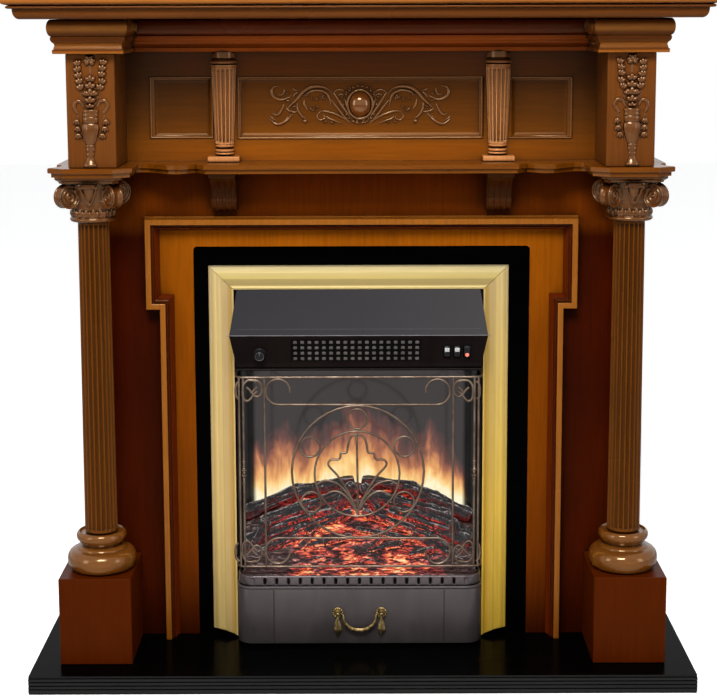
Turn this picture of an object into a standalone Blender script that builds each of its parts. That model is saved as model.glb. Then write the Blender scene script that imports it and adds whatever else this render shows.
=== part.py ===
"""Electric fireplace suite: a column mantel on a hearth slab, with an inset electric fire.

X runs to the right, the front faces -Y, +Z is up. The origin is at the middle of the
footprint, on the floor. All sizes are in metres. Depths are given as distances from the
wall plane at the back, and turned into Y by from_wall().
"""
import math

import bmesh
import bpy
from mathutils import Matrix, Vector

GAP = 0.0003                  # between pieces that touch
RUNNING_GAP = 0.0008          # round a turning or rocking piece

# Heights of what is stacked, from the floor up
HEARTH_THICKNESS = 0.030
PEDESTAL_HEIGHT = 0.1417
BASE_HEIGHT = 0.0637
SHAFT_LENGTH = 0.5007
CAPITAL_HEIGHT = 0.0734
SHELF_THICKNESS = 0.0146
BOX_HEIGHT = 0.1734
CORNICE_HEIGHT = 0.0514
TOP_HEIGHT = 0.0387

# Depths from the wall
MANTEL_DEPTH = 0.370
HEARTH_DEPTH = 0.340
BOX_FRONT = 0.290
SHELF_BLOCK_FRONT = 0.305
SHELF_CENTRE_FRONT = 0.242
FRIEZE_FACE = 0.170
PANEL_FACE = 0.157
ARCHITRAVE_RISE = 0.028
INFILL_SETBACK = 0.003

# Widths
HEARTH_WIDTH = 1.050
COLUMN_SPACING = 0.842
PEDESTAL_WIDTH = 0.115
PEDESTAL_SHIFT = 0.004        # outboard of the column
BOX_WIDTH = 0.074
BOX_SHIFT = 0.010             # inboard of the column
BODY_WIDTH = 0.880
BOARD = 0.018

# Column
SHAFT_FOOT_RADIUS = 0.0260
SHAFT_HEAD_RADIUS = 0.0243
FLUTES = 20
FLUTE_DEPTH = 0.0020
UPPER_RING_RADIUS = 0.040
LOWER_RING_RADIUS = 0.055
ASTRAGAL_RADIUS = 0.0362
NECK_RADIUS = 0.0315
VOLUTE_RADIUS = 0.0185
VOLUTE_WIDTH = 0.020
VOLUTE_REACH = 0.049          # from the column axis, along the diagonal
ABACUS_HALF = 0.052

# Fire opening in the mantel, and the architrave round it
OPENING_WIDTH = 0.546
OPENING_HEIGHT = 0.6553
ARCHITRAVE_WIDTH = 0.700
ARCHITRAVE_EAR = 0.022
ARCHITRAVE_TOP = 0.7052       # above the hearth
ARCHITRAVE_STEP = 0.554       # above the hearth
ARCHITRAVE_FACE = 0.023

# Inset fire
INSERT_X = -0.005             # stands this far off the mantel's middle
INFILL_BORDER = 0.0293        # black board seen beside the trim
INFILL_TOP_BORDER = 0.0313    # and above it
TRIM_WIDTH = OPENING_WIDTH - 2 * INFILL_BORDER
TRIM_HEIGHT = OPENING_HEIGHT - INFILL_TOP_BORDER
TRIM_SIDE_FACE = 0.0413
TRIM_TOP_FACE = 0.0365
TRIM_RISE = 0.020
CASE_CLEARANCE = 0.0015       # between the case and the trim, each side
CASE_WIDTH = TRIM_WIDTH - 2 * (TRIM_SIDE_FACE + CASE_CLEARANCE)
CASE_HEIGHT = TRIM_HEIGHT - TRIM_TOP_FACE - 0.001
CASE_BACK = 0.030             # clear of the wall
CASE_FRONT = 0.168
SHEET = 0.0015
HOOD_REACH = 0.230
HOOD_INSET = 0.0040           # each side, from the case's side to the hood's
HOOD_RIDGE_FLARE = 0.0090     # each side, past the hood's own top
MOUTH_MARGIN = 0.0012         # round the case, in the black board
SCREEN_REACH = 0.218
SCREEN_WIDTH = CASE_WIDTH - 0.018
WIRE_RADIUS = 0.0016
COVER_REACH = 0.215
COVER_WIDTH = CASE_WIDTH - 0.001
COVER_HEIGHT = 0.0980
COVER_LIFT = 0.0045           # above the hearth
BAND_HEIGHT = 0.0170
BAND_SETBACK = 0.0012         # behind the cover's face
BAND_SHEET = 0.0020
CORNER_RADIUS = 0.016
HANDLE_SPAN = 0.0715
GLASS_WIDTH = CASE_WIDTH - 2 * SHEET - 0.003
SPINDLE_LENGTH = CASE_WIDTH - 0.104
FAN_LENGTH = CASE_WIDTH - 0.174
FAN_RADIUS = 0.020

# Levels and places that follow from the sizes above
WALL_Y = MANTEL_DEPTH / 2
HEARTH_TOP = HEARTH_THICKNESS
PEDESTAL_TOP = HEARTH_TOP + GAP + PEDESTAL_HEIGHT
BASE_TOP = PEDESTAL_TOP + GAP + BASE_HEIGHT
SHAFT_TOP = BASE_TOP + GAP + SHAFT_LENGTH
CAPITAL_TOP = SHAFT_TOP + GAP + CAPITAL_HEIGHT
SHELF_TOP = CAPITAL_TOP + GAP + SHELF_THICKNESS
BOX_TOP = SHELF_TOP + GAP + BOX_HEIGHT
CORNICE_TOP = BOX_TOP + GAP + CORNICE_HEIGHT
MANTEL_TOP = CORNICE_TOP + GAP + TOP_HEIGHT
COLUMN_X = COLUMN_SPACING / 2
PEDESTAL_X = COLUMN_X + PEDESTAL_SHIFT
BOX_X = COLUMN_X - BOX_SHIFT
COLUMN_AXIS = BOX_FRONT - 0.003 - LOWER_RING_RADIUS
PANEL_BACK = PANEL_FACE - BOARD
FRIEZE_BACK = PANEL_FACE - 0.005

WOOD = ("walnut_lacquer", (0.165, 0.050, 0.012), 0.30, 0.0)
DARK_WOOD = ("dark_walnut_lacquer", (0.060, 0.014, 0.006), 0.32, 0.0)
CARVED = ("carved_walnut", (0.110, 0.032, 0.010), 0.28, 0.0)
BLACK_BOARD = ("black_board", (0.006, 0.006, 0.006), 0.35, 0.0)
BRASS = ("brass", (0.72, 0.55, 0.24), 0.25, 1.0)
OLD_BRASS = ("old_brass", (0.42, 0.30, 0.12), 0.35, 1.0)
BLACK_STEEL = ("black_steel", (0.030, 0.029, 0.031), 0.42, 0.3)
BRONZE = ("bronze_wire", (0.13, 0.085, 0.05), 0.38, 1.0)
GALVANISED = ("galvanised", (0.45, 0.46, 0.47), 0.40, 1.0)
BLACK_PLASTIC = ("black_plastic", (0.02, 0.02, 0.02), 0.45, 0.0)
GREY_PLASTIC = ("grey_plastic", (0.45, 0.45, 0.46), 0.40, 0.0)
RED_LAMP = ("red_lamp", (0.75, 0.04, 0.03), 0.25, 0.0)
EMBER = ("ember_resin", (0.12, 0.04, 0.02), 0.75, 0.0)
DARK_GLASS = ("flame_glass", (0.03, 0.025, 0.02), 0.12, 0.0)
CIRCUIT = ("circuit_board", (0.05, 0.16, 0.07), 0.50, 0.0)


def from_wall(depth):
    return WALL_Y - depth


def clear_scene():
    for obj in list(bpy.data.objects):
        bpy.data.objects.remove(obj, do_unlink=True)


def collection(name):
    made = bpy.data.collections.new(name)
    bpy.context.scene.collection.children.link(made)
    return made


clear_scene()
SUITE = collection("electric_fireplace_suite")


def material(finish):
    name, colour, roughness, metallic = finish
    made = bpy.data.materials.get(name)
    if made is None:
        made = bpy.data.materials.new(name)
        made.use_nodes = True
        shader = made.node_tree.nodes["Principled BSDF"]
        shader.inputs["Base Color"].default_value = (*colour, 1.0)
        shader.inputs["Roughness"].default_value = roughness
        shader.inputs["Metallic"].default_value = metallic
    return made


def from_bmesh(name, shape, finish, home=SUITE):
    bmesh.ops.recalc_face_normals(shape, faces=shape.faces)
    mesh = bpy.data.meshes.new(name)
    shape.to_mesh(mesh)
    shape.free()
    obj = bpy.data.objects.new(name, mesh)
    home.objects.link(obj)
    mesh.materials.append(material(finish))
    return obj


def smooth(obj, angle=35.0):
    obj.data.shade_smooth()
    obj.data.set_sharp_from_angle(angle=math.radians(angle))
    return obj


def rounded(obj, width, segments=1):
    bevel = obj.modifiers.new("edges", "BEVEL")
    bevel.width = width
    bevel.segments = segments
    bevel.limit_method = "ANGLE"
    return obj


def block(name, x, y, z, finish, edge=0.0):
    """A box between two values on each axis, with its edges eased where edge is given."""
    shape = bmesh.new()
    bmesh.ops.create_cube(shape, size=1.0)
    size = Vector((x[1] - x[0], y[1] - y[0], z[1] - z[0]))
    middle = Vector((x[0] + x[1], y[0] + y[1], z[0] + z[1])) / 2
    bmesh.ops.transform(shape, matrix=Matrix.Diagonal((*size, 1.0)), verts=shape.verts)
    bmesh.ops.translate(shape, vec=middle, verts=shape.verts)
    obj = from_bmesh(name, shape, finish)
    if edge:
        rounded(obj, edge)
    return obj


def rod(name, start, end, radius, finish, sides=16, end_radius=None):
    """A round bar, or a cone, between two points."""
    start, end = Vector(start), Vector(end)
    along = end - start
    shape = bmesh.new()
    bmesh.ops.create_cone(shape, cap_ends=True, segments=sides, radius1=radius,
                          radius2=radius if end_radius is None else end_radius,
                          depth=along.length)
    turn = along.to_track_quat("Z", "Y").to_matrix().to_4x4()
    bmesh.ops.transform(shape, matrix=Matrix.Translation((start + end) / 2) @ turn,
                        verts=shape.verts)
    return smooth(from_bmesh(name, shape, finish))


def loft(name, rings, finish):
    """A closed body through rings of points, each ring with the same number of points."""
    shape = bmesh.new()
    rows = [[shape.verts.new(point) for point in ring] for ring in rings]
    count = len(rows[0])
    for near, far in zip(rows, rows[1:]):
        for i in range(count):
            j = (i + 1) % count
            shape.faces.new((near[i], near[j], far[j], far[i]))
    shape.faces.new(rows[0])
    shape.faces.new(rows[-1])
    return from_bmesh(name, shape, finish)


def turned(name, profile, finish, steps=28):
    """A turned piece about Z; profile is (radius, height) from the top to the bottom."""
    shape = bmesh.new()
    points = [shape.verts.new((radius, 0.0, height)) for radius, height in profile]
    for upper, lower in zip(points, points[1:]):
        shape.edges.new((upper, lower))
    mesh = bpy.data.meshes.new(name)
    shape.to_mesh(mesh)
    shape.free()
    obj = bpy.data.objects.new(name, mesh)
    SUITE.objects.link(obj)
    mesh.materials.append(material(finish))
    screw = obj.modifiers.new("turn", "SCREW")
    screw.steps = steps
    screw.render_steps = steps
    screw.use_merge_vertices = True
    screw.merge_threshold = 0.00001
    screw.use_smooth_shade = True
    return settle(obj)


def settle(obj):
    """Replace an object by its evaluated mesh, welded, in the same place."""
    bpy.context.view_layer.update()
    graph = bpy.context.evaluated_depsgraph_get()
    mesh = bpy.data.meshes.new_from_object(obj.evaluated_get(graph), depsgraph=graph)
    shape = bmesh.new()
    shape.from_mesh(mesh)
    bmesh.ops.remove_doubles(shape, verts=shape.verts, dist=0.000005)
    bmesh.ops.recalc_face_normals(shape, faces=shape.faces)
    shape.to_mesh(mesh)
    shape.free()
    name = obj.name
    home = obj.users_collection[0]
    made = bpy.data.objects.new(name + "_settled", mesh)
    made.matrix_world = obj.matrix_world.copy()
    home.objects.link(made)
    bpy.data.objects.remove(obj, do_unlink=True)
    made.name = name
    return made


def plate(name, outline, thickness, finish, holes=(), place=None):
    """A flat plate from an outline of (x, y) points, standing on its local XY plane."""
    curve = bpy.data.curves.new(name, "CURVE")
    curve.dimensions = "2D"
    curve.fill_mode = "BOTH"
    curve.extrude = thickness / 2
    for points in (outline, *holes):
        spline = curve.splines.new("POLY")
        spline.points.add(len(points) - 1)
        for point, (x, y) in zip(spline.points, points):
            point.co = (x, y, 0.0, 1.0)
        spline.use_cyclic_u = True
    curve.materials.append(material(finish))
    obj = bpy.data.objects.new(name, curve)
    SUITE.objects.link(obj)
    if place is not None:
        obj.matrix_world = place
    return settle(obj)


def upright(y):
    """Stands a plate in the XZ plane with its middle at this Y."""
    return Matrix.Translation((0.0, y, 0.0)) @ Matrix.Rotation(math.pi / 2, 4, "X")


def wire(name, points, radius, finish, closed=False, resolution=1):
    curve = bpy.data.curves.new(name, "CURVE")
    curve.dimensions = "3D"
    curve.bevel_depth = radius
    curve.bevel_resolution = resolution
    curve.use_fill_caps = True
    spline = curve.splines.new("POLY")
    spline.points.add(len(points) - 1)
    for point, place in zip(spline.points, points):
        point.co = (*place, 1.0)
    spline.use_cyclic_u = closed
    curve.materials.append(material(finish))
    obj = bpy.data.objects.new(name, curve)
    SUITE.objects.link(obj)
    return settle(obj)


def combine(target, pieces, operation="UNION"):
    """Join pieces to a body, or cut them out of it, and keep the result as its mesh."""
    for piece in pieces:
        step = target.modifiers.new("combine", "BOOLEAN")
        step.operation = operation
        step.object = piece
        step.solver = "EXACT"
    made = settle(target)
    for piece in pieces:
        bpy.data.objects.remove(piece, do_unlink=True)
    return made


def cut(target, *pieces):
    return combine(target, pieces, "DIFFERENCE")


def arc(centre, radius, start, end, count):
    """Points on a circle, angles in degrees."""
    for i in range(count + 1):
        angle = math.radians(start + (end - start) * i / count)
        yield (centre[0] + radius * math.cos(angle), centre[1] + radius * math.sin(angle))


def oval_arc(centre, wide, high, start, end, count):
    for x, y in arc((0.0, 0.0), 1.0, start, end, count):
        yield (centre[0] + wide * x, centre[1] + high * y)


def both_sides(make):
    return [make(side, name) for side, name in ((-1, "left"), (1, "right"))]


# Mantel

def hearth_slab():
    """A slab whose front edge has a row of reeds."""
    reeds = 4
    lip = 0.003
    edge = HEARTH_THICKNESS - 2 * lip
    reed = edge / reeds
    front = from_wall(HEARTH_DEPTH)
    outline = [(WALL_Y, 0.0), (front + lip, 0.0), (front + lip, lip)]
    for i in range(reeds):
        middle = lip + reed * (i + 0.5)
        outline += oval_arc((front + lip, middle), lip, reed / 2, 270, 90, 4)
    outline += [(front + lip, HEARTH_THICKNESS - lip), (front + lip, HEARTH_THICKNESS),
                (WALL_Y, HEARTH_THICKNESS)]
    clean = [outline[0]]
    for point in outline[1:]:
        if math.dist(point, clean[-1]) > 0.00001:
            clean.append(point)
    half = HEARTH_WIDTH / 2
    rings = [[(x, y, z) for y, z in clean] for x in (-half, half)]
    return loft("hearth_slab", rings, BLACK_BOARD)


def pedestal(side, label):
    middle = side * PEDESTAL_X
    half = PEDESTAL_WIDTH / 2
    return block("pedestal_" + label, (middle - half, middle + half),
                 (from_wall(BOX_FRONT), from_wall(PANEL_FACE) - GAP),
                 (HEARTH_TOP + GAP, PEDESTAL_TOP), WOOD, edge=0.0012)


def column_base(side, label):
    """Two rounded rings with fillets between them."""
    top, low = BASE_TOP, PEDESTAL_TOP + GAP
    neck = SHAFT_FOOT_RADIUS + 0.0015
    upper = 0.0085
    upper_middle = top - 0.012
    waist = UPPER_RING_RADIUS - 0.007
    lower_wide, lower_high = 0.014, 0.0165
    lower_middle = low + lower_high
    profile = [(0.0, top), (neck, top), (neck, top - 0.002)]
    profile += oval_arc((UPPER_RING_RADIUS - upper, upper_middle), upper, upper, 80, -80, 5)
    profile += [(waist, upper_middle - 0.009), (waist, upper_middle - 0.012),
                (waist + 0.004, upper_middle - 0.0125), (waist + 0.004, upper_middle - 0.0155)]
    profile += oval_arc((LOWER_RING_RADIUS - lower_wide, lower_middle), lower_wide, lower_high,
                        72, -75, 6)
    profile += [(LOWER_RING_RADIUS - 0.006, low), (0.0, low)]
    base = turned("column_base_" + label, profile, WOOD, steps=20)
    base.location = (side * COLUMN_X, from_wall(COLUMN_AXIS), 0.0)
    return base


def fluted_ring(centre, radius, depth, flutes, height, points=4, arc_share=0.78):
    """One level of a fluted shaft: each flute is a shallow hollow between flat fillets."""
    ring = []
    pitch = 2 * math.pi / flutes
    for i in range(flutes):
        for j in range(points):
            share = j / (points - 1)
            angle = pitch * (i + (share - 0.5) * arc_share)
            sink = depth * math.sin(math.pi * share)
            reach = radius - sink
            ring.append((centre[0] + reach * math.cos(angle),
                         centre[1] + reach * math.sin(angle), height))
    return ring


def column_shaft(side, label):
    centre = (side * COLUMN_X, from_wall(COLUMN_AXIS))
    rings = [fluted_ring(centre, SHAFT_FOOT_RADIUS, FLUTE_DEPTH, FLUTES, BASE_TOP + GAP),
             fluted_ring(centre, SHAFT_HEAD_RADIUS, FLUTE_DEPTH, FLUTES, SHAFT_TOP)]
    return loft("column_shaft_" + label, rings, WOOD)


def abacus_ring(half, hollow, height):
    """A square with cut corners and four hollow sides."""
    cut_corner = 0.009
    ring = []
    for quarter in range(4):
        turn = Matrix.Rotation(quarter * math.pi / 2, 2)
        for i in range(6):
            share = i / 5
            along = (2 * share - 1) * (half - cut_corner)
            reach = half - hollow * math.sin(math.pi * share)
            ring.append((*(turn @ Vector((reach, along))), height))
    return ring


def capital(side, label):
    """A ring and neck, four scrolls on the diagonals, a drop on each face, and a slab."""
    low, top = SHAFT_TOP + GAP, CAPITAL_TOP
    ring_high = 0.0045
    scroll_level = low + 0.0415
    abacus_low = top - 0.011
    profile = [(0.0, abacus_low + 0.002), (NECK_RADIUS + 0.008, abacus_low + 0.002),
               (NECK_RADIUS + 0.009, scroll_level + 0.010), (NECK_RADIUS, scroll_level - 0.012),
               (NECK_RADIUS, low + 0.011), (NECK_RADIUS + 0.0015, low + 2 * ring_high)]
    profile += oval_arc((ASTRAGAL_RADIUS - ring_high, low + ring_high), ring_high, ring_high,
                        80, -80, 4)
    profile += [(ASTRAGAL_RADIUS - 0.006, low), (0.0, low)]
    body = turned("capital_" + label, profile, CARVED, steps=14)
    parts = [loft("abacus", [abacus_ring(ABACUS_HALF - 0.004, 0.008, abacus_low),
                             abacus_ring(ABACUS_HALF - 0.002, 0.007, top - 0.006),
                             abacus_ring(ABACUS_HALF, 0.006, top - 0.0045),
                             abacus_ring(ABACUS_HALF, 0.006, top)], CARVED)]
    for i in range(4):
        diagonal = math.radians(45 + 90 * i)
        out = Vector((math.cos(diagonal), math.sin(diagonal), 0.0))
        across = Vector((-out.y, out.x, 0.0))
        middle = out * VOLUTE_REACH + Vector((0.0, 0.0, scroll_level))
        parts.append(rod("scroll", middle - across * VOLUTE_WIDTH / 2,
                         middle + across * VOLUTE_WIDTH / 2, VOLUTE_RADIUS, CARVED, sides=12))
        arm = out * (VOLUTE_REACH - 0.006)
        arm_level = Vector((0.0, 0.0, scroll_level + VOLUTE_RADIUS - 0.004))
        parts.append(rod("arm", arm_level, arm + arm_level, 0.0085, CARVED, sides=8))
        parts.append(capital_drop(math.radians(90 * i), abacus_low, scroll_level))
    made = combine(body, parts)
    made.location = (side * COLUMN_X, from_wall(COLUMN_AXIS), 0.0)
    return smooth(made, 30)


def capital_drop(angle, top, level):
    """The faceted drop in the middle of each face of a capital."""
    turn = Matrix.Rotation(angle, 3, "Z")
    inner = NECK_RADIUS
    rings = []
    for half, reach, height in ((0.014, 0.049, top + 0.001), (0.013, 0.050, top - 0.007),
                                (0.009, 0.045, top - 0.008), (0.0015, 0.036, level - 0.014)):
        ring = [(inner, -half, height), (reach - 0.004, -half, height), (reach, 0.0, height),
                (reach - 0.004, half, height), (inner, half, height)]
        rings.append([turn @ Vector(point) for point in ring])
    return loft("drop", rings, CARVED)


def shelf_plan():
    """The right half of the shelf's outline, as (x, depth from the wall)."""
    block_middle = COLUMN_X - BOX_SHIFT / 2
    front_half, tip_half = 0.038, 0.065
    tip_back = 0.019
    shoulder = BOX_X + BOX_WIDTH / 2
    run_end = 0.246
    points = [(run_end, SHELF_CENTRE_FRONT), (run_end + 0.006, SHELF_CENTRE_FRONT - 0.010)]
    start, end = run_end + 0.014, block_middle - tip_half - 0.004
    for i in range(9):
        share = i / 8
        wave = math.cos(2 * math.pi * (share * 0.82 - 0.30))
        depth = SHELF_CENTRE_FRONT - 0.016 + 0.017 * wave
        points.append((start + (end - start) * share, depth))
    back_corner = SHELF_BLOCK_FRONT - 0.093
    points += [(block_middle - tip_half, back_corner),
               (block_middle - tip_half, SHELF_BLOCK_FRONT - tip_back),
               (block_middle - front_half, SHELF_BLOCK_FRONT),
               (block_middle + front_half, SHELF_BLOCK_FRONT),
               (block_middle + tip_half, SHELF_BLOCK_FRONT - tip_back),
               (shoulder + 0.022, SHELF_BLOCK_FRONT - 0.036),
               (shoulder + 0.018, SHELF_BLOCK_FRONT - 0.052),
               (shoulder + 0.020, SHELF_BLOCK_FRONT - 0.066),
               (shoulder + 0.028, SHELF_BLOCK_FRONT - 0.072),
               (shoulder + 0.030, SHELF_BLOCK_FRONT - 0.082),
               (shoulder + 0.030, 0.0)]
    return points


def inset(outline, distance):
    """Move each side of a closed outline inwards; the outline runs anticlockwise."""
    moved = []
    count = len(outline)
    for i, point in enumerate(outline):
        before = Vector(outline[i - 1])
        here = Vector(point)
        after = Vector(outline[(i + 1) % count])
        first = (here - before).normalized()
        second = (after - here).normalized()
        normal_a = Vector((-first.y, first.x))
        normal_b = Vector((-second.y, second.x))
        mitre = normal_a + normal_b
        scale = distance / max(0.35, mitre.length_squared / 2)
        moved.append(tuple(here + mitre * scale))
    return moved


def mid_shelf():
    right = [(x, from_wall(depth)) for x, depth in shelf_plan()]
    outline = [(-x, y) for x, y in reversed(right)] + right
    low = CAPITAL_TOP + GAP
    lip = low + 0.006
    step = 0.004
    small = 0.0012
    inner = inset(outline, step)
    eased = inset(outline, small)
    rings = [[(x, min(y, WALL_Y), low) for x, y in inner],
             [(x, min(y, WALL_Y), lip) for x, y in inner],
             [(x, min(y, WALL_Y), lip + 0.0003) for x, y in eased],
             [(x, y, lip + small) for x, y in outline],
             [(x, y, SHELF_TOP - small) for x, y in outline],
             [(x, min(y, WALL_Y), SHELF_TOP) for x, y in eased]]
    return loft("mid_shelf", rings, WOOD)


def upper_box(side, label):
    middle = side * BOX_X
    half = BOX_WIDTH / 2
    return block("upper_box_" + label, (middle - half, middle + half),
                 (from_wall(BOX_FRONT), from_wall(FRIEZE_FACE) - GAP),
                 (SHELF_TOP + GAP, BOX_TOP), WOOD, edge=0.001)


def cornice_profile():
    """How far the moulding stands out at each level, from the bottom up."""
    low = BOX_TOP + GAP
    profile = [(0.0160, low), (0.0170, low + 0.006)]
    profile += [(0.0145, low + 0.0075), (0.0140, low + 0.0105), (0.0150, low + 0.0150),
                (0.0175, low + 0.0195), (0.0190, low + 0.0205), (0.0190, low + 0.0250),
                (0.0175, low + 0.0262)]
    torus_low, torus_top = low + 0.0262, CORNICE_TOP
    middle = (torus_low + torus_top) / 2
    half = (torus_top - torus_low) / 2
    profile += oval_arc((0.0175, middle), 0.006, half, -75, 90, 7)
    return profile


def cornice_block(side, label):
    """The moulding that breaks forward over an upper box, returned on three sides."""
    rings = []
    for rise, height in cornice_profile():
        inner = side * (BOX_X - BOX_WIDTH / 2 - rise)
        outer = side * (BOX_X + BOX_WIDTH / 2 + rise)
        front, back = from_wall(BOX_FRONT + rise), from_wall(FRIEZE_BACK)
        rings.append([(inner, front, height), (outer, front, height),
                      (outer, back, height), (inner, back, height)])
    return loft("cornice_block_" + label, rings, WOOD)


def cornice_centre():
    widest = max(rise for rise, _ in cornice_profile())
    half = BOX_X - BOX_WIDTH / 2 - widest - GAP
    rings = []
    for rise, height in cornice_profile():
        front, back = from_wall(FRIEZE_FACE + rise), from_wall(FRIEZE_BACK)
        rings.append([(-half, front, height), (half, front, height),
                      (half, back, height), (-half, back, height)])
    return loft("cornice_centre", rings, WOOD)


def mantel_top():
    """The top board with a bead and a quarter round under it, straight across."""
    low = CORNICE_TOP + GAP
    reach = MANTEL_DEPTH - BOX_FRONT
    profile = list(oval_arc((reach - 0.024, low + 0.0130), 0.009, 0.0130, -90, 0, 5))
    profile += [(reach - 0.0150, low + 0.0155), (reach - 0.0105, low + 0.0155),
                (reach - 0.0070, low + 0.0180), (reach - 0.0105, low + 0.0205),
                (reach - 0.0060, low + 0.0215), (reach - 0.0015, low + 0.0230),
                (reach, low + 0.0260), (reach, MANTEL_TOP - 0.0040),
                (reach - 0.0030, MANTEL_TOP)]
    rings = []
    for rise, height in profile:
        half = BOX_X + BOX_WIDTH / 2 + rise
        rings.append([(-half, from_wall(BOX_FRONT + rise), height),
                      (half, from_wall(BOX_FRONT + rise), height),
                      (half, WALL_Y, height), (-half, WALL_Y, height)])
    return loft("mantel_top", rings, WOOD)


# Frieze field levels, above the shelf
FIELD_LOW = 0.036
FIELD_HIGH = 0.133
HALF_COLUMN_X = 0.218
HALF_COLUMN_TOP_RADIUS = 0.0205
HALF_COLUMN_FOOT_RADIUS = 0.0145
FIELD_MARGIN = 0.0215


def frieze_panel():
    """The board behind the upper boxes, with three sunk fields."""
    low, high = SHELF_TOP + GAP, BOX_TOP
    face, back = from_wall(FRIEZE_FACE), from_wall(FRIEZE_BACK)
    board = block("frieze_panel", (-BODY_WIDTH / 2, BODY_WIDTH / 2), (face, back),
                  (low, high), WOOD)
    inner = HALF_COLUMN_X - FIELD_MARGIN
    outer = HALF_COLUMN_X + FIELD_MARGIN
    end = BOX_X - BOX_WIDTH / 2 - 0.041
    sinks = [sunk_field(-inner, inner), sunk_field(outer, end), sunk_field(-end, -outer)]
    return cut(board, *sinks)


def sunk_field(left, right):
    """A stepped cutter for one field: a wide shallow step, then a narrower deep one."""
    face = from_wall(FRIEZE_FACE)
    low, high = SHELF_TOP + FIELD_LOW, SHELF_TOP + FIELD_HIGH
    rings = []
    for shrink, y in ((-0.001, face - 0.002), (0.0, face), (0.004, face + 0.003),
                      (0.0045, face + 0.006), (0.008, face + 0.007)):
        rings.append([(left + shrink, y, low + shrink), (right - shrink, y, low + shrink),
                      (right - shrink, y, high - shrink), (left + shrink, y, high - shrink)])
    return loft("field", rings, DARK_WOOD)


def half_column(side, label):
    """A tapered fluted half column on a square block, under a square cap."""
    middle = side * HALF_COLUMN_X
    face = from_wall(FRIEZE_FACE) - GAP
    low, top = SHELF_TOP + GAP, BOX_TOP
    block_top = low + 0.0085
    neck_top = low + 0.028
    cap_low = top - 0.030
    centre = (middle, face)
    shaft = loft("half_column_" + label,
                 [fluted_ring(centre, HALF_COLUMN_FOOT_RADIUS, 0.0022, 10, neck_top - 0.002),
                  fluted_ring(centre, HALF_COLUMN_TOP_RADIUS, 0.0028, 10, cap_low + 0.002)],
                 WOOD)
    wide = 0.0115
    neck = turned("neck", [(0.0, neck_top), (HALF_COLUMN_FOOT_RADIUS - 0.001, neck_top),
                           (wide, neck_top - 0.003), (wide + 0.003, neck_top - 0.006),
                           (wide, neck_top - 0.009), (wide + 0.0025, neck_top - 0.012),
                           (wide, neck_top - 0.015), (wide + 0.002, block_top - 0.001),
                           (0.0, block_top - 0.001)], WOOD, steps=16)
    neck.location = (middle, face, 0.0)
    foot_half = 0.025
    foot = block("foot", (middle - foot_half, middle + foot_half), (face - 0.030, face),
                 (low, block_top), WOOD)
    cap = loft("cap", [square_ring(middle, face, half, level) for half, level in
                       ((HALF_COLUMN_TOP_RADIUS + 0.0005, cap_low),
                        (HALF_COLUMN_TOP_RADIUS + 0.0018, cap_low + 0.003),
                        (HALF_COLUMN_TOP_RADIUS + 0.0005, cap_low + 0.006),
                        (HALF_COLUMN_TOP_RADIUS + 0.0005, cap_low + 0.020),
                        (HALF_COLUMN_TOP_RADIUS - 0.0020, top))], WOOD)
    behind = block("behind", (middle - 0.06, middle + 0.06), (face, face + 0.06),
                   (low - 0.01, top + 0.01), WOOD)
    joined = combine(shaft, [neck, foot, cap])
    return cut(joined, behind)


def square_ring(middle, face, half, level):
    return [(middle - half, face + 0.004, level), (middle - half, face - half, level),
            (middle + half, face - half, level), (middle + half, face + 0.004, level)]


def corbel(side, label):
    """A fluted scroll bracket under the shelf."""
    middle = side * (HALF_COLUMN_X + 0.0018)
    half = 0.0195
    face = from_wall(PANEL_FACE) - GAP
    top = CAPITAL_TOP
    cap_high = 0.0085
    body_top = top - cap_high - 0.004
    low = top - 0.0655
    outline = [(face, top), (face, low)]
    outline += arc((face - 0.012, low + 0.014), 0.014, -90, -205, 5)
    outline += [(face - 0.028, low + 0.030), (face - 0.038, body_top - 0.012),
                (face - 0.052, body_top - 0.002), (face - 0.055, body_top), (face - 0.055, top)]
    rings = [[(middle + end * half, y, z) for y, z in outline] for end in (-1, 1)]
    body = loft("corbel_" + label, rings, WOOD)
    cap = block("cap", (middle - half - 0.0018, middle + half + 0.0018),
                (face - 0.060, face), (top - cap_high, top), WOOD)
    grooves = []
    for i in range(4):
        x = middle + (i - 1.5) * 0.0085
        grooves.append(rod("groove", (x, face - 0.066, body_top - 0.002),
                           (x, face - 0.026, low + 0.012), 0.0026, WOOD, sides=8))
    return combine(cut(body, *grooves), [cap])


def front_panel():
    """The board that carries the mantel's front, with the fire opening."""
    half = BODY_WIDTH / 2
    low, high = HEARTH_TOP + GAP, CAPITAL_TOP
    opening = OPENING_WIDTH / 2
    top = HEARTH_TOP + OPENING_HEIGHT
    corner = 0.006
    outline = [(-half, low), (-opening, low), (-opening, top - corner)]
    outline += list(arc((-opening + corner, top - corner), corner, 180, 90, 3))[1:]
    outline += arc((opening - corner, top - corner), corner, 90, 0, 3)
    outline += [(opening, low), (half, low), (half, high), (-half, high)]
    y = (from_wall(PANEL_FACE) + from_wall(PANEL_BACK)) / 2
    return plate("front_panel", outline, BOARD, WOOD, place=upright(y))


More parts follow.
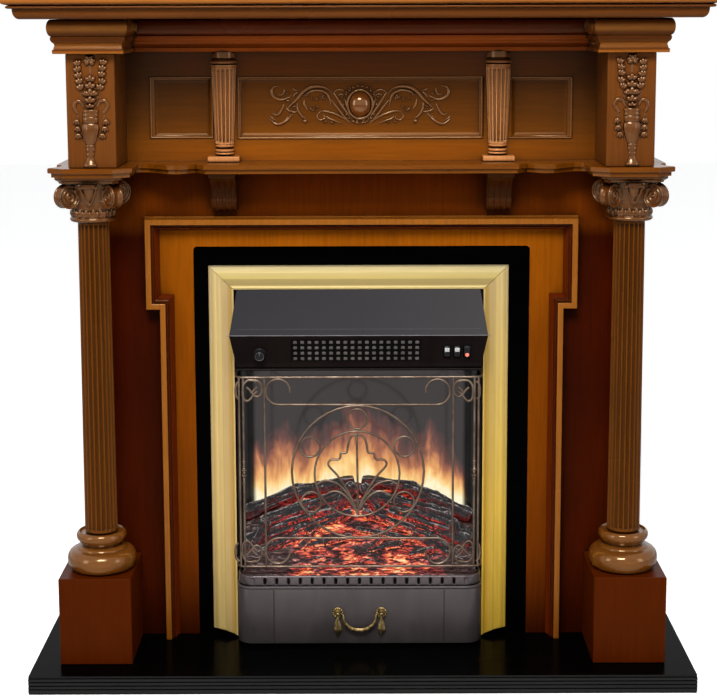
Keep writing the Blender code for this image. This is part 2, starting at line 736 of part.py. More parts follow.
def architrave():
    """A moulding that runs round the opening and steps out into ears at the top."""
    face = from_wall(PANEL_FACE) - GAP
    rise = ARCHITRAVE_RISE
    width = ARCHITRAVE_FACE
    profile = [(0.0, 0.0), (0.0, rise), (0.0120, rise), (0.0128, rise - 0.006),
               (0.0145, rise - 0.011), (0.0165, rise - 0.012), (0.0172, rise - 0.018),
               (0.0190, rise - 0.021), (0.0205, rise - 0.0215), (width, 0.0015), (width, 0.0)]
    ear_half = ARCHITRAVE_WIDTH / 2
    leg_half = ear_half - ARCHITRAVE_EAR
    low = HEARTH_TOP + GAP
    step = HEARTH_TOP + ARCHITRAVE_STEP
    top = HEARTH_TOP + ARCHITRAVE_TOP

    def corners(w):
        side = [(leg_half - w, low), (leg_half - w, step + w), (ear_half - w, step + w),
                (ear_half - w, top - w)]
        return [(-x, z) for x, z in side] + [(x, z) for x, z in reversed(side)]

    paths = [corners(w) for w, _ in profile]
    rings = []
    for i in range(len(paths[0])):
        rings.append([(path[i][0], face - height, path[i][1])
                      for path, (_, height) in zip(paths, profile)])
    return loft("architrave", rings, WOOD)


def infill_panel():
    """The black board in the opening, open below for the fire."""
    half = OPENING_WIDTH / 2 - GAP
    low = HEARTH_TOP + GAP
    top = HEARTH_TOP + OPENING_HEIGHT - GAP
    corner = 0.006
    mouth = CASE_WIDTH / 2 + MOUTH_MARGIN
    mouth_top = HEARTH_TOP + CASE_HEIGHT + MOUTH_MARGIN
    outline = [(-half, low), (INSERT_X - mouth, low), (INSERT_X - mouth, mouth_top),
               (INSERT_X + mouth, mouth_top), (INSERT_X + mouth, low), (half, low)]
    outline += arc((half - corner, top - corner), corner, 0, 90, 3)
    outline += arc((-half + corner, top - corner), corner, 90, 180, 3)
    thick = BOARD - INFILL_SETBACK
    y = from_wall(PANEL_FACE - INFILL_SETBACK) + thick / 2
    return plate("infill_panel", outline, thick, BLACK_BOARD, place=upright(y))


def side_panel(side, label):
    outer = side * BODY_WIDTH / 2
    inner = outer - side * BOARD
    return block("side_panel_" + label, sorted((outer, inner)),
                 (from_wall(PANEL_BACK) + GAP, WALL_Y),
                 (HEARTH_TOP + GAP, CAPITAL_TOP), DARK_WOOD)


def upper_side(side, label):
    outer = side * BODY_WIDTH / 2
    inner = outer - side * BOARD
    return block("upper_side_" + label, sorted((outer, inner)),
                 (from_wall(FRIEZE_BACK) + GAP, WALL_Y),
                 (SHELF_TOP + GAP, CORNICE_TOP), DARK_WOOD)


def back_rail(name, low):
    """A rail across the back, between the side panels."""
    half = BODY_WIDTH / 2 - BOARD - GAP
    return block(name, (-half, half), (WALL_Y - BOARD, WALL_Y), (low, low + 0.060), DARK_WOOD)


# Carved pieces

def urn_applique(side, label):
    """A two handled urn with flowers, on the face of an upper box."""
    face = from_wall(BOX_FRONT) - GAP
    middle = side * BOX_X
    low = SHELF_TOP + 0.004
    profile = [(0.0, 0.084), (0.0155, 0.084), (0.0150, 0.079), (0.0095, 0.075),
               (0.0100, 0.069), (0.0145, 0.064), (0.0140, 0.052), (0.0095, 0.038),
               (0.0055, 0.028), (0.0040, 0.024), (0.0065, 0.021), (0.0040, 0.018),
               (0.0050, 0.012), (0.0090, 0.004), (0.0090, 0.0), (0.0, 0.0)]
    urn = turned("urn_applique_" + label, profile, CARVED, steps=12)
    squash = Matrix.Diagonal((1.0, 0.55, 1.0, 1.0))
    urn.data.transform(Matrix.Translation((middle, face, low)) @ squash)
    parts = []
    for end in (-1, 1):
        points = [(middle + end * reach, face - 0.0025, low + level) for reach, level in
                  ((0.012, 0.066), (0.021, 0.072), (0.0235, 0.082), (0.018, 0.088),
                   (0.0145, 0.084))]
        parts.append(wire("handle", points, 0.0022, CARVED, resolution=0))
        parts.append(petal_row(middle + end * 0.0185, face, low + 0.042, 0.0035, 0.026))
        parts.append(rod("drop_stem", (middle + end * 0.0185, face - 0.002, low + 0.052),
                         (middle + end * 0.0215, face - 0.002, low + 0.075), 0.0014, CARVED,
                         sides=6))
    for x, z, radius in ((0.0, 0.098, 0.009), (-0.010, 0.108, 0.0075), (0.010, 0.108, 0.0075),
                         (0.0, 0.116, 0.0085), (-0.009, 0.125, 0.0065), (0.009, 0.126, 0.0065),
                         (0.0, 0.133, 0.0075), (0.001, 0.147, 0.0055)):
        parts.append(bloom(middle + x, face, low + z, radius))
    stem = rod("stem", (middle, face - 0.002, low + 0.080), (middle, face - 0.002, low + 0.150),
               0.003, CARVED, sides=8)
    behind = block("behind", (middle - 0.05, middle + 0.05), (face, face + 0.04),
                   (low - 0.02, low + 0.2), CARVED)
    return cut(combine(urn, [stem] + parts), behind)


def bloom(x, face, z, radius):
    shape = bmesh.new()
    bmesh.ops.create_icosphere(shape, subdivisions=1, radius=radius)
    place = Matrix.Translation((x, face, z)) @ Matrix.Diagonal((1.0, 0.75, 1.0, 1.0))
    bmesh.ops.transform(shape, matrix=place, verts=shape.verts)
    return from_bmesh("bloom", shape, CARVED)


def petal_row(x, face, z, radius, length):
    shape = bmesh.new()
    bmesh.ops.create_icosphere(shape, subdivisions=1, radius=1.0)
    place = Matrix.Translation((x, face, z))
    size = Matrix.Diagonal((radius, radius * 1.1, length / 2, 1.0))
    bmesh.ops.transform(shape, matrix=place @ size, verts=shape.verts)
    return from_bmesh("leaf", shape, CARVED)


def centre_applique():
    """A cabochon with scrolling leaves to each side, on the middle field."""
    face = from_wall(FRIEZE_FACE) + FIELD_DEPTH - GAP
    level = SHELF_TOP + APPLIQUE_RISE
    stone = gem("centre_applique", 0.0, 0.0, 0.0, 0.0185, 0.0220, 0.015)
    frame = wire("frame", [(0.021 * math.cos(a), -0.004, 0.0245 * math.sin(a))
                           for a in (2 * math.pi * i / 14 for i in range(14))],
                 0.0045, CARVED, closed=True)
    parts = [frame]
    for end in (-1, 1):
        def at(x, z):
            return (end * x, -0.003, z)
        scroll = [at(0.020, -0.018), at(0.032, -0.012), at(0.042, 0.002), at(0.055, 0.016),
                  at(0.072, 0.019), at(0.086, 0.010), at(0.098, -0.004), at(0.112, -0.013),
                  at(0.128, -0.017), at(0.138, -0.012)]
        parts.append(wire("stem", scroll, 0.0042, CARVED, resolution=0))
        curl = [at(0.092, 0.000), at(0.104, 0.004), at(0.118, 0.006), at(0.132, 0.010),
                at(0.136, 0.018), at(0.128, 0.024), at(0.120, 0.020)]
        parts.append(wire("curl", curl, 0.0036, CARVED, resolution=0))
        inner = [at(0.030, -0.018), at(0.046, -0.022), at(0.058, -0.016), at(0.060, -0.006),
                 at(0.054, 0.002), at(0.046, -0.002)]
        parts.append(wire("inner_curl", inner, 0.0036, CARVED, resolution=0))
        for x, z, wide, high in ((0.030, 0.014, 0.013, 0.010), (0.066, -0.014, 0.014, 0.009),
                                 (0.066, 0.010, 0.012, 0.009), (0.090, -0.003, 0.011, 0.008)):
            parts.append(gem("leaf", end * x, 0.0, z, wide, high, 0.006, 8, 5))
    behind = block("behind", (-0.2, 0.2), (0.0, 0.05), (-0.06, 0.06), CARVED)
    carving = cut(combine(stone, parts), behind)
    carving.data.transform(Matrix.Translation((APPLIQUE_X, face, level)))
    return carving


FIELD_DEPTH = 0.007           # the sunk fields lie this far behind the frieze's face
APPLIQUE_X = -0.0015
APPLIQUE_RISE = 0.0805        # its middle, above the shelf
GEM_LIFT = 0.0006             # its middle stands this far off the face that it is cut at


def gem(name, x, face, z, wide, high, thick, around=12, along=7):
    shape = bmesh.new()
    bmesh.ops.create_uvsphere(shape, u_segments=around, v_segments=along, radius=1.0)
    size = Matrix.Diagonal((wide, thick, high, 1.0))
    bmesh.ops.transform(shape, matrix=Matrix.Translation((x, face - GEM_LIFT, z)) @ size,
                        verts=shape.verts)
    return from_bmesh(name, shape, CARVED)


# Inset fire: trim, case, hood

def trim_profile(face_width):
    """(across, rise) of the brass moulding, from its outer edge to its inner edge."""
    thin = 0.0020
    shape = [(0.0, 0.0), (0.0, 0.004), (0.06, 0.006), (0.30, 0.0105), (0.42, 0.0135),
             (0.55, 0.0165), (0.70, 0.0175), (0.86, 0.0185), (0.93, TRIM_RISE),
             (1.0, TRIM_RISE), (1.0, TRIM_RISE - 2 * thin), (0.86, 0.0185 - 2 * thin),
             (0.60, 0.0125), (0.40, 0.0085), (0.20, 0.0045), (0.12, 0.0)]
    return [(across * face_width, rise) for across, rise in shape]


def trim_face():
    return from_wall(PANEL_FACE - INFILL_SETBACK) - GAP


def trim_top():
    """The top length, cut at 45 degrees to meet the sides."""
    face = trim_face()
    top = HEARTH_TOP + TRIM_HEIGHT
    half = TRIM_WIDTH / 2
    rings = []
    for end in (-1, 1):
        ring = []
        for (down, rise), (across, _) in zip(trim_profile(TRIM_TOP_FACE),
                                             trim_profile(TRIM_SIDE_FACE)):
            x = INSERT_X + end * (half - across - GAP)
            ring.append((x, face - rise, top - down))
        rings.append(ring)
    return loft("trim_top", rings, BRASS)


def trim_side(side, label):
    face = trim_face()
    top = HEARTH_TOP + TRIM_HEIGHT
    half = TRIM_WIDTH / 2
    foot_outer, foot_inner = 0.0116, 0.0030
    level_share = 0.45        # of the face, level along its foot before the curve starts
    upper, lower = [], []
    for (across, rise), (down, _) in zip(trim_profile(TRIM_SIDE_FACE),
                                         trim_profile(TRIM_TOP_FACE)):
        x = INSERT_X + side * (half - across)
        share = across / TRIM_SIDE_FACE
        bend = max(0.0, share - level_share) / (1 - level_share)
        foot = foot_outer - (foot_outer - foot_inner) * bend ** 1.5
        upper.append((x, face - rise, top - down - 2 * GAP))
        lower.append((x, face - rise, HEARTH_TOP + foot))
    return loft("trim_" + label, [upper, lower], BRASS)


def firebox_case():
    """A sheet metal box, open at the front, with air slots in its back."""
    half = CASE_WIDTH / 2
    low, high = HEARTH_TOP + GAP, HEARTH_TOP + CASE_HEIGHT
    front, back = from_wall(CASE_FRONT), from_wall(CASE_BACK)
    box = block("firebox_case", (INSERT_X - half, INSERT_X + half), (front, back),
                (low, high), BLACK_STEEL)
    hollow = block("hollow", (INSERT_X - half + SHEET, INSERT_X + half - SHEET),
                   (front - 0.01, back - SHEET), (low + SHEET, high - SHEET), BLACK_STEEL)
    slots = []
    for i in range(6):
        x = INSERT_X + (i - 2.5) * 0.040
        slots.append(block("slot", (x - 0.014, x + 0.014), (back - 0.01, back + 0.01),
                           (high - 0.052, high - 0.046), BLACK_STEEL))
    return cut(box, hollow, *slots)


def hood_section(shrink):
    """(depth, level, half width) round the hood, made smaller all round by shrink."""
    top = HEARTH_TOP + CASE_HEIGHT
    ridge = top - 0.065
    roll_top = ridge - 0.047
    low = roll_top - 0.0135
    back = CASE_FRONT + GAP
    top_half = CASE_WIDTH / 2 - HOOD_INSET
    ridge_half = top_half + HOOD_RIDGE_FLARE
    section = [(back, top - shrink, top_half), (back + 0.006, top - shrink, top_half),
               (HOOD_REACH - shrink, ridge, ridge_half),
               (HOOD_REACH - 0.015 - shrink, roll_top, top_half),
               (HOOD_REACH - 0.015 - shrink, roll_top - 0.006, top_half),
               (HOOD_REACH - 0.019 - shrink, low + 0.003, top_half),
               (HOOD_REACH - 0.026 - shrink, low + shrink, top_half),
               (back, low + shrink, top_half)]
    return [(depth, level, half - shrink) for depth, level, half in section]


def hood_solid(name, shrink, back_stretch=0.0):
    rings = []
    for end in (-1, 1):
        ring = []
        for depth, level, half in hood_section(shrink):
            at_back = depth <= CASE_FRONT + 2 * GAP
            y = from_wall(depth) + (back_stretch if at_back else 0.0)
            ring.append((INSERT_X + end * half, y, level))
        rings.append(ring)
    return loft(name, rings, BLACK_STEEL)


def panel_frame(across, up):
    """A place on the hood's lower front: local X runs across, Y up it and Z out of it."""
    ridge, lip = hood_section(0.0)[2:4]
    low = Vector((0.0, from_wall(lip[0]), lip[1]))
    high = Vector((0.0, from_wall(ridge[0]), ridge[1]))
    rise = (high - low).normalized()
    right = Vector((1.0, 0.0, 0.0))
    out = right.cross(rise)
    place = low + (high - low) * up + right * (INSERT_X + across)
    frame = Matrix.Identity(4)
    for i, axis in enumerate((right, rise, out)):
        frame.col[i][:3] = axis
    frame.col[3][:3] = place
    return frame


KNOB_ACROSS = -0.158
KNOB_UP = 0.40
KNOB_RADIUS = 0.0095
SWITCH_ACROSS = (0.141, 0.157, 0.173)
SWITCH_WIDTH = 0.0105
SWITCH_LENGTH = 0.0210
GRILLE_WIDTH = 0.202
GRILLE_HEIGHT = 0.034


def local_block(name, frame, x, y, z, finish):
    made = block(name, x, y, z, finish)
    made.data.transform(frame)
    return made


def hood():
    """The sheet metal hood, open at the back, with its front cut for grille and controls."""
    shell = hood_solid("hood", 0.0)
    inner = hood_solid("hollow", SHEET, back_stretch=0.01)
    knob = panel_frame(KNOB_ACROSS, KNOB_UP)
    hole = rod("hole", (0.0, 0.0, -0.010), (0.0, 0.0, 0.010), 0.0042, BLACK_STEEL, sides=16)
    hole.data.transform(knob)
    mouth = local_block("mouth", panel_frame(-0.004, 0.48),
                        (-GRILLE_WIDTH / 2, GRILLE_WIDTH / 2),
                        (-GRILLE_HEIGHT / 2, GRILLE_HEIGHT / 2), (-0.01, 0.01), BLACK_STEEL)
    windows = []
    for across in SWITCH_ACROSS:
        half = SWITCH_WIDTH / 2 + RUNNING_GAP
        tall = SWITCH_LENGTH / 2 + RUNNING_GAP
        windows.append(local_block("window", panel_frame(across, 0.42), (-half, half),
                                   (-tall, tall), (-0.01, 0.01), BLACK_STEEL))
    return cut(shell, inner, hole, mouth, *windows)


def outlet_grille():
    """A pierced plate behind the opening in the hood."""
    columns, rows = 9, 4
    margin = 0.004
    half_x = GRILLE_WIDTH / 2 + margin
    half_y = GRILLE_HEIGHT / 2 + margin
    pitch_x = GRILLE_WIDTH / columns
    pitch_y = GRILLE_HEIGHT / rows
    holes = []
    for i in range(columns):
        for j in range(rows):
            x = (i - (columns - 1) / 2) * pitch_x
            y = (j - (rows - 1) / 2) * pitch_y
            wide, tall = pitch_x / 2 - 0.0018, pitch_y / 2 - 0.0013
            holes.append([(x - wide, y - tall), (x + wide, y - tall),
                          (x + wide, y + tall), (x - wide, y + tall)])
    thickness = 0.0012
    frame = panel_frame(-0.004, 0.48)
    place = frame @ Matrix.Translation((0.0, 0.0, -SHEET - GAP - thickness / 2))
    outline = [(-half_x, -half_y), (half_x, -half_y), (half_x, half_y), (-half_x, half_y)]
    return plate("outlet_grille", outline, thickness, BLACK_STEEL, holes=holes, place=place)


def thermostat_knob():
    """A round knob with a grip bar, on a spindle through the hood."""
    radius = KNOB_RADIUS
    lift = 0.0008
    profile = [(0.0, 0.0095), (radius - 0.0035, 0.0095), (radius - 0.0020, 0.0085),
               (radius - 0.0008, 0.0030), (radius, 0.0022), (radius, lift), (0.0030, lift),
               (0.0030, -0.0060), (0.0, -0.0060)]
    knob = turned("thermostat_knob", profile, BLACK_PLASTIC, steps=20)
    grip = block("grip", (-0.0014, 0.0014), (-0.0075, 0.0075), (0.004, 0.0125), BLACK_PLASTIC)
    made = combine(knob, [grip])
    made.matrix_world = panel_frame(KNOB_ACROSS, KNOB_UP)
    return made


def rocker(index, across):
    """A rocker whose face is a shallow V, on an axis along X just under the panel."""
    half = SWITCH_LENGTH / 2
    side = SWITCH_WIDTH / 2
    outline = [(-half, 0.0042), (-half, -0.0005), (-half + 0.003, -0.0060),
               (half - 0.003, -0.0060), (half, -0.0005), (half, 0.0026), (0.0, 0.0018)]
    finish = GREY_PLASTIC if index < 3 else RED_LAMP
    rings = [[(x, y, z) for y, z in outline] for x in (-side, side)]
    made = loft("rocker_" + str(index), rings, finish)
    made.matrix_world = panel_frame(across, 0.42)
    return made


# Inside the hood

HEATER_TRAY_LEVEL = HEARTH_TOP + 0.4575


def heater_tray():
    """The sheet between the fire chamber and the heater, with a tab for the fan's shaft."""
    half = CASE_WIDTH / 2 - SHEET - GAP
    sheet = block("heater_tray", (INSERT_X - half, INSERT_X + half),
                  (from_wall(CASE_FRONT), from_wall(CASE_BACK) - SHEET - GAP),
                  (HEATER_TRAY_LEVEL - SHEET, HEATER_TRAY_LEVEL), GALVANISED)
    x = INSERT_X - FAN_LENGTH / 2 - 0.0085
    return bearing_tab(sheet, x, FAN_DEPTH, FAN_LEVEL, HEATER_TRAY_LEVEL)


def bearing_tab(sheet, x, depth, level, foot):
    """Bend a tab up from a sheet and bore it for a shaft along X."""
    y = from_wall(depth)
    half = 0.011
    thick = 0.003
    tab = block("tab", (x, x + thick), (y - half, y + half), (foot - SHEET / 2, level + half),
                GALVANISED)
    bore = rod("bore", (x - 0.01, y, level), (x + thick + 0.01, y, level),
               SHAFT_RADIUS + GAP, GALVANISED, sides=16)
    return cut(combine(sheet, [tab]), bore)


FAN_DEPTH = 0.110
FAN_LEVEL = HEATER_TRAY_LEVEL + 0.045
SHAFT_RADIUS = 0.003


def fan_rotor():
    """A long drum of blades between two end discs, on a shaft."""
    y = from_wall(FAN_DEPTH)
    left = INSERT_X - FAN_LENGTH / 2
    right = INSERT_X + FAN_LENGTH / 2
    disc = 0.003
    hub = rod("fan_rotor", (left - 0.010, y, FAN_LEVEL), (right + 0.010, y, FAN_LEVEL),
              SHAFT_RADIUS, GALVANISED, sides=12)
    parts = []
    for start in (left, INSERT_X - disc / 2, right - disc):
        parts.append(rod("disc", (start, y, FAN_LEVEL), (start + disc, y, FAN_LEVEL),
                         FAN_RADIUS, GALVANISED, sides=12))
    blades = 8
    for i in range(blades):
        angle = 2 * math.pi * i / blades
        reach = FAN_RADIUS - 0.004
        blade = block("blade", (left + 0.001, right - 0.001), (-0.0005, 0.0005),
                      (-0.003, 0.003), GALVANISED)
        turn = Matrix.Rotation(angle + 0.9, 4, "X")
        place = Matrix.Translation((0.0, y + reach * math.sin(angle),
                                    FAN_LEVEL + reach * math.cos(angle)))
        blade.data.transform(place @ turn)
        parts.append(blade)
    made = combine(hub, parts)
    return recentre(made, Vector((INSERT_X, y, FAN_LEVEL)))


def recentre(obj, origin):
    """Put an object's origin on its axis, with its shape left where it is."""
    obj.data.transform(Matrix.Translation(-origin) @ obj.matrix_world)
    obj.matrix_world = Matrix.Translation(origin)
    return obj


def motor(name, x, depth, level, foot, finish, length, radius):
    """A motor can on a cradle, with a bore for the shaft that it drives."""
    y = from_wall(depth)
    can = rod(name, (x, y, level), (x + length, y, level), radius, finish, sides=20)
    cradle = block("cradle", (x + 0.003, x + length - 0.003), (y - radius * 0.8, y + radius * 0.8),
                   (foot + GAP, level - radius * 0.4), finish)
    bore = rod("bore", (x - 0.01, y, level), (x + 0.012, y, level), SHAFT_RADIUS + GAP, finish,
               sides=16)
    return cut(combine(can, [cradle]), bore)


def heater_element():
    """A finned heater across the outlet, on two feet."""
    half = FAN_LENGTH / 2
    y0, y1 = from_wall(0.160), from_wall(0.148)
    low = HEATER_TRAY_LEVEL + GAP
    top = low + 0.052
    body = block("heater_element", (INSERT_X - half, INSERT_X + half), (y0, y1), (low, top),
                 GALVANISED)
    count = 14
    pitch = (2 * half - 0.012) / count
    slots = []
    for i in range(count):
        x = INSERT_X - half + 0.006 + pitch * (i + 0.5)
        slots.append(block("slot", (x - pitch * 0.38, x + pitch * 0.38), (y0 - 0.01, y1 + 0.01),
                           (low + 0.008, top - 0.006), GALVANISED))
    return cut(body, *slots)


# Fire chamber

BAND_LOW = HEARTH_TOP + COVER_LIFT + COVER_HEIGHT + 2 * GAP
BED_LEVEL = BAND_LOW + BAND_HEIGHT
GLASS_DEPTH = 0.115
SPINDLE_DEPTH = 0.072
SPINDLE_LEVEL = BED_LEVEL + 0.050


def bed_tray():
    """The sheet that carries the fuel bed and the flame parts, with a slot for light."""
    half = CASE_WIDTH / 2 - SHEET - GAP
    front, back = from_wall(CASE_FRONT), from_wall(CASE_BACK) - SHEET - GAP
    sheet = block("bed_tray", (INSERT_X - half, INSERT_X + half), (front, back),
                  (BED_LEVEL - SHEET, BED_LEVEL), GALVANISED)
    light = block("light", (INSERT_X - 0.15, INSERT_X + 0.15),
                  (from_wall(GLASS_DEPTH + 0.035), from_wall(GLASS_DEPTH + 0.008)),
                  (BED_LEVEL - 0.01, BED_LEVEL + 0.01), GALVANISED)
    x = INSERT_X - SPINDLE_LENGTH / 2 - 0.0065
    return bearing_tab(cut(sheet, light), x, SPINDLE_DEPTH, SPINDLE_LEVEL, BED_LEVEL)


def flame_screen():
    half = GLASS_WIDTH / 2
    y = from_wall(GLASS_DEPTH)
    return block("flame_screen", (INSERT_X - half, INSERT_X + half), (y, y + 0.003),
                 (BED_LEVEL + GAP, HEATER_TRAY_LEVEL - SHEET - GAP), DARK_GLASS)


def flicker_spindle():
    """A shaft with flat reflecting vanes that turns behind the flame glass."""
    y = from_wall(SPINDLE_DEPTH)
    left = INSERT_X - SPINDLE_LENGTH / 2
    right = INSERT_X + SPINDLE_LENGTH / 2
    shaft = rod("flicker_spindle", (left - 0.008, y, SPINDLE_LEVEL),
                (right + 0.008, y, SPINDLE_LEVEL), SHAFT_RADIUS, GALVANISED, sides=12)
    vanes = []
    count = 8
    pitch = SPINDLE_LENGTH / count
    for i in range(count):
        x = left + pitch * (i + 0.5)
        vane = block("vane", (x - 0.012, x + 0.012), (-0.0005, 0.0005), (-0.020, 0.020),
                     GALVANISED)
        turn = Matrix.Rotation(math.radians(67.0) * i, 4, "X")
        vane.data.transform(Matrix.Translation((0.0, y, SPINDLE_LEVEL)) @ turn)
        vanes.append(vane)
    made = combine(shaft, vanes)
    return recentre(made, Vector((INSERT_X, y, SPINDLE_LEVEL)))


def lamp_board():
    """A strip of lamps on an angle bracket, on the floor of the case."""
    low = HEARTH_TOP + GAP + SHEET + GAP
    y0, y1 = from_wall(0.148), from_wall(0.118)
    half, tall, thick = SPINDLE_LENGTH / 2, 0.070, 0.002
    board_front = y0 + 0.004
    section = [(y0, low), (y1, low), (y1, low + tall), (board_front, low + tall),
               (board_front, low + tall - thick), (y1 - thick, low + tall - thick),
               (y1 - thick, low + thick), (y0, low + thick)]
    rings = [[(INSERT_X + end * half, y, z) for y, z in section] for end in (-1, 1)]
    bracket = loft("lamp_board", rings, CIRCUIT)
    lamp_pitch, lamp_y, lamp_tall = SPINDLE_LENGTH / 5, (y0 + y1) / 2 + 0.002, 0.008
    lamps = []
    for i in range(5):
        x = INSERT_X + (i - 2) * lamp_pitch
        lamps.append(rod("lamp", (x, lamp_y, low + tall - thick / 2),
                         (x, lamp_y, low + tall + lamp_tall), 0.005, CIRCUIT,
                         sides=12, end_radius=0.003))
    return combine(bracket, lamps)


HEAP_RIM = 0.020              # height of the heap's front edge
LOG_SPREAD = 0.1918           # the heap's half width that the logs below are laid for


def ember_bed():
    """A moulded heap of embers with logs laid over it."""
    half = CASE_WIDTH / 2 - 0.010
    stretch = half / LOG_SPREAD
    back = from_wall(GLASS_DEPTH) - GAP
    front = from_wall(CASE_FRONT + 0.020)
    low = BED_LEVEL + GAP
    columns, rows = 17, 5
    top = []
    for j in range(rows + 1):
        share_y = j / rows
        row = []
        for i in range(columns + 1):
            share_x = i / columns
            crown = math.sin(math.pi * share_x) ** 0.5
            slope = HEAP_RIM + 0.105 * share_y ** 0.8 * (0.45 + 0.55 * crown)
            lumps = 0.006 * math.sin(9.0 * i + 4.0 * j) * math.sin(5.0 * j + 2.0 * i)
            height = max(0.004, slope + lumps)
            x = INSERT_X - half + 2 * half * share_x
            row.append((x, front + (back - front) * share_y, low + height))
        top.append(row)
    heap = heap_solid("ember_bed", top, low)
    logs = []
    for start, end, thick, thin in (
            ((-0.165, 0.022, 0.060), (-0.020, 0.044, 0.128), 0.020, 0.015),
            ((0.170, 0.020, 0.055), (0.010, 0.046, 0.122), 0.021, 0.015),
            ((-0.130, 0.050, 0.095), (0.150, 0.052, 0.105), 0.017, 0.014),
            ((-0.060, 0.012, 0.040), (-0.100, 0.048, 0.100), 0.013, 0.010),
            ((0.050, 0.012, 0.040), (0.085, 0.048, 0.105), 0.014, 0.010)):
        first = Vector((INSERT_X + stretch * start[0], front + start[1], low + start[2]))
        last = Vector((INSERT_X + stretch * end[0], front + end[1], low + end[2]))
        logs.append(rod("log", first, last, thick, EMBER, sides=10, end_radius=thin))
    behind = block("behind", (INSERT_X - 0.3, INSERT_X + 0.3), (back, back + 0.1),
                   (low - 0.1, low + 0.3), EMBER)
    return cut(combine(heap, logs), behind)


def heap_solid(name, top, low):
    """A height field closed with straight sides and a flat floor."""
    shape = bmesh.new()
    upper = [[shape.verts.new(point) for point in row] for row in top]
    floor = [[shape.verts.new((x, y, low)) for x, y, _ in row] for row in top]
    rows, columns = len(top), len(top[0])
    for j in range(rows - 1):
        for i in range(columns - 1):
            shape.faces.new((upper[j][i], upper[j][i + 1], upper[j + 1][i + 1], upper[j + 1][i]))
    rim = [(0, i) for i in range(columns)] + [(j, columns - 1) for j in range(1, rows)]
    rim += [(rows - 1, i) for i in range(columns - 2, -1, -1)]
    rim += [(j, 0) for j in range(rows - 2, 0, -1)]
    for (a, b), (c, d) in zip(rim, rim[1:] + rim[:1]):
        shape.faces.new((upper[a][b], upper[c][d], floor[c][d], floor[a][b]))
    shape.faces.new([floor[j][i] for j, i in rim])
    for row in floor:
        for vert in row:
            if not vert.link_faces:
                shape.verts.remove(vert)
    return from_bmesh(name, shape, EMBER)


# Front of the fire

def wrap_outline(half, reach, back, thickness, radius):
    """Plan of a sheet with a flat front, rounded corners and straight returns."""
    outer = [(-half, back)]
    outer += arc((-half + radius, reach + radius), radius, 180, 270, 5)
    outer += arc((half - radius, reach + radius), radius, 270, 360, 5)
    outer += [(half, back)]
    inner_radius = radius - thickness
    inner = [(half - thickness, back)]
    inner += arc((half - radius, reach + radius), inner_radius, 360, 270, 5)
    inner += arc((-half + radius, reach + radius), inner_radius, 270, 180, 5)
    inner += [(-half + thickness, back)]
    return [(INSERT_X + x, y) for x, y in outer + inner]


def flat(level):
    return Matrix.Translation((0.0, 0.0, level))


def fret_band():
    """A ribbed band across the front, under the fuel bed."""
    low = BAND_LOW
    back = from_wall(CASE_FRONT) - GAP
    reach = from_wall(COVER_REACH - BAND_SETBACK)
    half = COVER_WIDTH / 2 - BAND_SETBACK
    outline = wrap_outline(half, reach, back, BAND_SHEET, CORNER_RADIUS - BAND_SETBACK)
    band = plate("fret_band", outline, BAND_HEIGHT, BLACK_STEEL,
                 place=flat(low + BAND_HEIGHT / 2))
    shelf_low = low + BAND_HEIGHT - 0.003
    shelf = block("shelf", (INSERT_X - half + 0.001, INSERT_X + half - 0.001),
                  (reach + 0.016, back), (shelf_low, low + BAND_HEIGHT), BLACK_STEEL)
    bridge = block("bridge", (INSERT_X - half + 0.030, INSERT_X + half - 0.030),
                   (reach + 0.001, reach + 0.020), (shelf_low, low + BAND_HEIGHT), BLACK_STEEL)
    ribs = []
    count = 18
    span = 2 * (half - CORNER_RADIUS)
    for i in range(count):
        x = INSERT_X - span / 2 + span * (i + 0.5) / count
        ribs.append(block("rib", (x - 0.0028, x + 0.0028), (reach - 0.0012, reach + 0.001),
                          (low + 0.004, low + BAND_HEIGHT - 0.004), BLACK_STEEL))
    return combine(band, [shelf, bridge] + ribs)


def ash_cover():
    """The lower front, shaped like an ash drawer: a flat sheet with rounded ends."""
    low = HEARTH_TOP + COVER_LIFT
    back = from_wall(CASE_FRONT) - GAP
    reach = from_wall(COVER_REACH)
    half = COVER_WIDTH / 2
    outline = wrap_outline(half, reach, back, 0.002, CORNER_RADIUS)
    cover = plate("ash_cover", outline, COVER_HEIGHT, BLACK_STEEL,
                  place=flat(low + COVER_HEIGHT / 2))
    lip = plate("lip", wrap_outline(half + 0.0012, reach - 0.0012, back, 0.003,
                                    CORNER_RADIUS + 0.0012), 0.006, BLACK_STEEL,
                place=flat(low + COVER_HEIGHT - 0.003))
    return combine(cover, [lip])


HANDLE_LEVEL = HEARTH_TOP + COVER_LIFT + 0.0540
EYE_REACH = 0.0062


